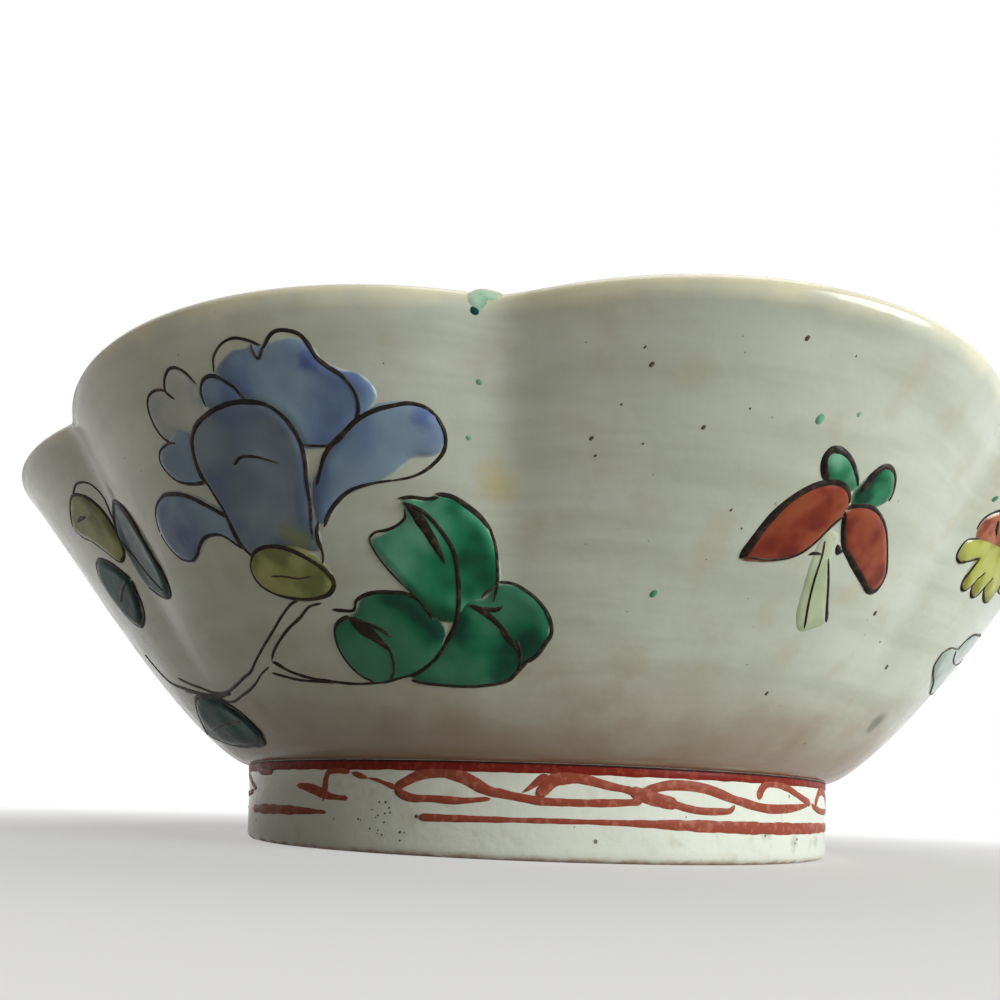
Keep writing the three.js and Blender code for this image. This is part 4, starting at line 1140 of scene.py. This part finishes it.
FOOT_SPECKS = [
    (-29.3, 2.9, 0.35), (-24.4, 3, 0.4), (-19.5, 4.6, 0.45), (-20.8, 3.4, 0.4), (-18.7, 3.7, 0.4),
    (-22.2, 2.2, 0.4), (-19.7, 2.8, 0.4), (-20.9, 1.8, 0.35), (-17, 2, 0.45), (-17, 1.3, 0.4),
    (-14.4, 3.45, 0.55), (37.3, 2.9, 0.45), (41.5, 2.7, 0.45), (51, 2.4, 0.45), (50.3, 2, 0.4),
    (28.1, 7.6, 0.3), (25.6, 4.2, 0.35), (19.3, 3.7, 0.3), (-20.6, 4.6, 0.4), (-18.9, 4.1, 0.4),
    (-21.2, 3.2, 0.35), (-19.6, 3.6, 0.4), (-21.9, 3.9, 0.35), (-20.1, 1.7, 0.4), (-24, 2.9, 0.35),
    (-16.3, 2, 0.35), (-20.8, 2.1, 0.35)]
foot_specks = [(*round_foot([(degrees, z)])[0], size) for degrees, z, size in FOOT_SPECKS]
add_drops("foot_specks", on_foot, foot_specks, GRIT)


# Camera, at the photograph's viewing angle

CAMERA_PLACE = (4.98, -113.1, 4.6)
CAMERA_HEADING = -0.0953  # radians to the right of straight ahead
CAMERA_PITCH = 0.381  # radians above the level
CAMERA_ROLL = 0.035
LENS = 27.5
CLIP_START = 0.005  # metres
across = Vector((math.cos(CAMERA_HEADING), -math.sin(CAMERA_HEADING), 0))
level = Vector((math.sin(CAMERA_HEADING), math.cos(CAMERA_HEADING), 0))
ahead = level * math.cos(CAMERA_PITCH) + Vector((0, 0, math.sin(CAMERA_PITCH)))
above = across.cross(ahead)
turned = Matrix.Rotation(-CAMERA_ROLL, 3, ahead)
camera = bpy.data.objects.new("camera", bpy.data.cameras.new("camera"))
bpy.context.scene.collection.objects.link(camera)
camera.matrix_world = Matrix.Translation(Vector(CAMERA_PLACE) * MM) @ Matrix(
    (turned @ across, turned @ above, -ahead)).transposed().to_4x4()
camera.data.lens = LENS
camera.data.clip_start = CLIP_START
bpy.context.scene.camera = camera


# Floor, background and lights. Their lengths are metres.

SKY_COLOUR = (1, 0.82, 0.6, 1)
SKY_STRENGTH = 0.09
FLOOR_COLOUR = (0.56, 0.54, 0.5, 1)
FLOOR_REACH = 3
FLOOR_WHITENS = (0.05, 0.2)  # it turns from partly white to white between these distances
FLOOR_WHITENESS = (0.45, 1)
LAMPS = [
    ("window", (0.8, -0.44, 0.17), 0.5, 11.6, (0.92, 0.99, 1)),
    ("skylight", (0.2, 0.1, 1.2), 0.9, 3.6, (1, 0.98, 0.93)),
]
LAMPS_AIM = (0, 0, 0.02)


def white_to_camera(nodes, shader, share=1):
    """Shows plain white, or a share of it, where the camera, a reflection or a clear part sees this
    shader."""
    ray = nodes.node("ShaderNodeLightPath").outputs
    seen = nodes.math("MAXIMUM", ray["Is Camera Ray"], ray["Is Glossy Ray"])
    seen = nodes.math("MAXIMUM", seen, ray["Is Transmission Ray"])
    white = nodes.node("ShaderNodeBackground")
    white.inputs["Color"].default_value = (1, 1, 1, 1)
    mix = nodes.node("ShaderNodeMixShader")
    nodes.feed(mix.inputs[0], nodes.math("MULTIPLY", seen, share))
    nodes.feed(mix.inputs[1], shader.outputs[0])
    nodes.feed(mix.inputs[2], white.outputs[0])
    return mix.outputs[0]


world = bpy.data.worlds.new("studio")
bpy.context.scene.world = world
world.use_nodes = True
sky = world.node_tree.nodes["Background"]
sky.inputs["Color"].default_value = SKY_COLOUR
sky.inputs["Strength"].default_value = SKY_STRENGTH
sky_nodes = Nodes(world.node_tree)
sky_output = world.node_tree.nodes["World Output"]
sky_nodes.feed(sky_output.inputs["Surface"], white_to_camera(sky_nodes, sky))

corners = [(x * FLOOR_REACH, y * FLOOR_REACH, 0) for x, y in ((-1, -1), (1, -1), (1, 1), (-1, 1))]
floor_mesh = bpy.data.meshes.new("floor")
floor_mesh.from_pydata(corners, [], [(0, 1, 2, 3)])
floor = bpy.data.objects.new("floor", floor_mesh)
bpy.context.scene.collection.objects.link(floor)
floor_shading = Shading("pale_floor", 0.8)
floor_shading.shader.inputs["Base Color"].default_value = FLOOR_COLOUR
far = floor_shading.node("ShaderNodeVectorMath", operation="LENGTH")
floor_shading.feed(far.inputs[0], floor_shading.place)
whiter = floor_shading.spread(far.outputs["Value"], *FLOOR_WHITENS, *FLOOR_WHITENESS)
floor_output = floor_shading.tree.nodes["Material Output"]
shown = white_to_camera(floor_shading, floor_shading.shader, whiter)
floor_shading.feed(floor_output.inputs["Surface"], shown)
floor_mesh.materials.append(floor_shading.material)
floor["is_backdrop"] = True


def add_lamp(name, place, size, power, colour):
    lamp = bpy.data.lights.new(name, "AREA")
    lamp.shape = "DISK"
    lamp.size = size
    lamp.energy = power
    lamp.color = colour
    holder = bpy.data.objects.new(name, lamp)
    bpy.context.scene.collection.objects.link(holder)
    holder.location = place
    towards = Vector(LAMPS_AIM) - Vector(place)
    holder.rotation_euler = towards.to_track_quat("-Z", "Y").to_euler()


for lamp in LAMPS:
    add_lamp(*lamp)

bpy.context.scene.view_settings.view_transform = "Standard"

boxes = {"cad": cad_box, "visual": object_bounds()}
{key: [list(corner) for corner in box] for key, box in boxes.items()}
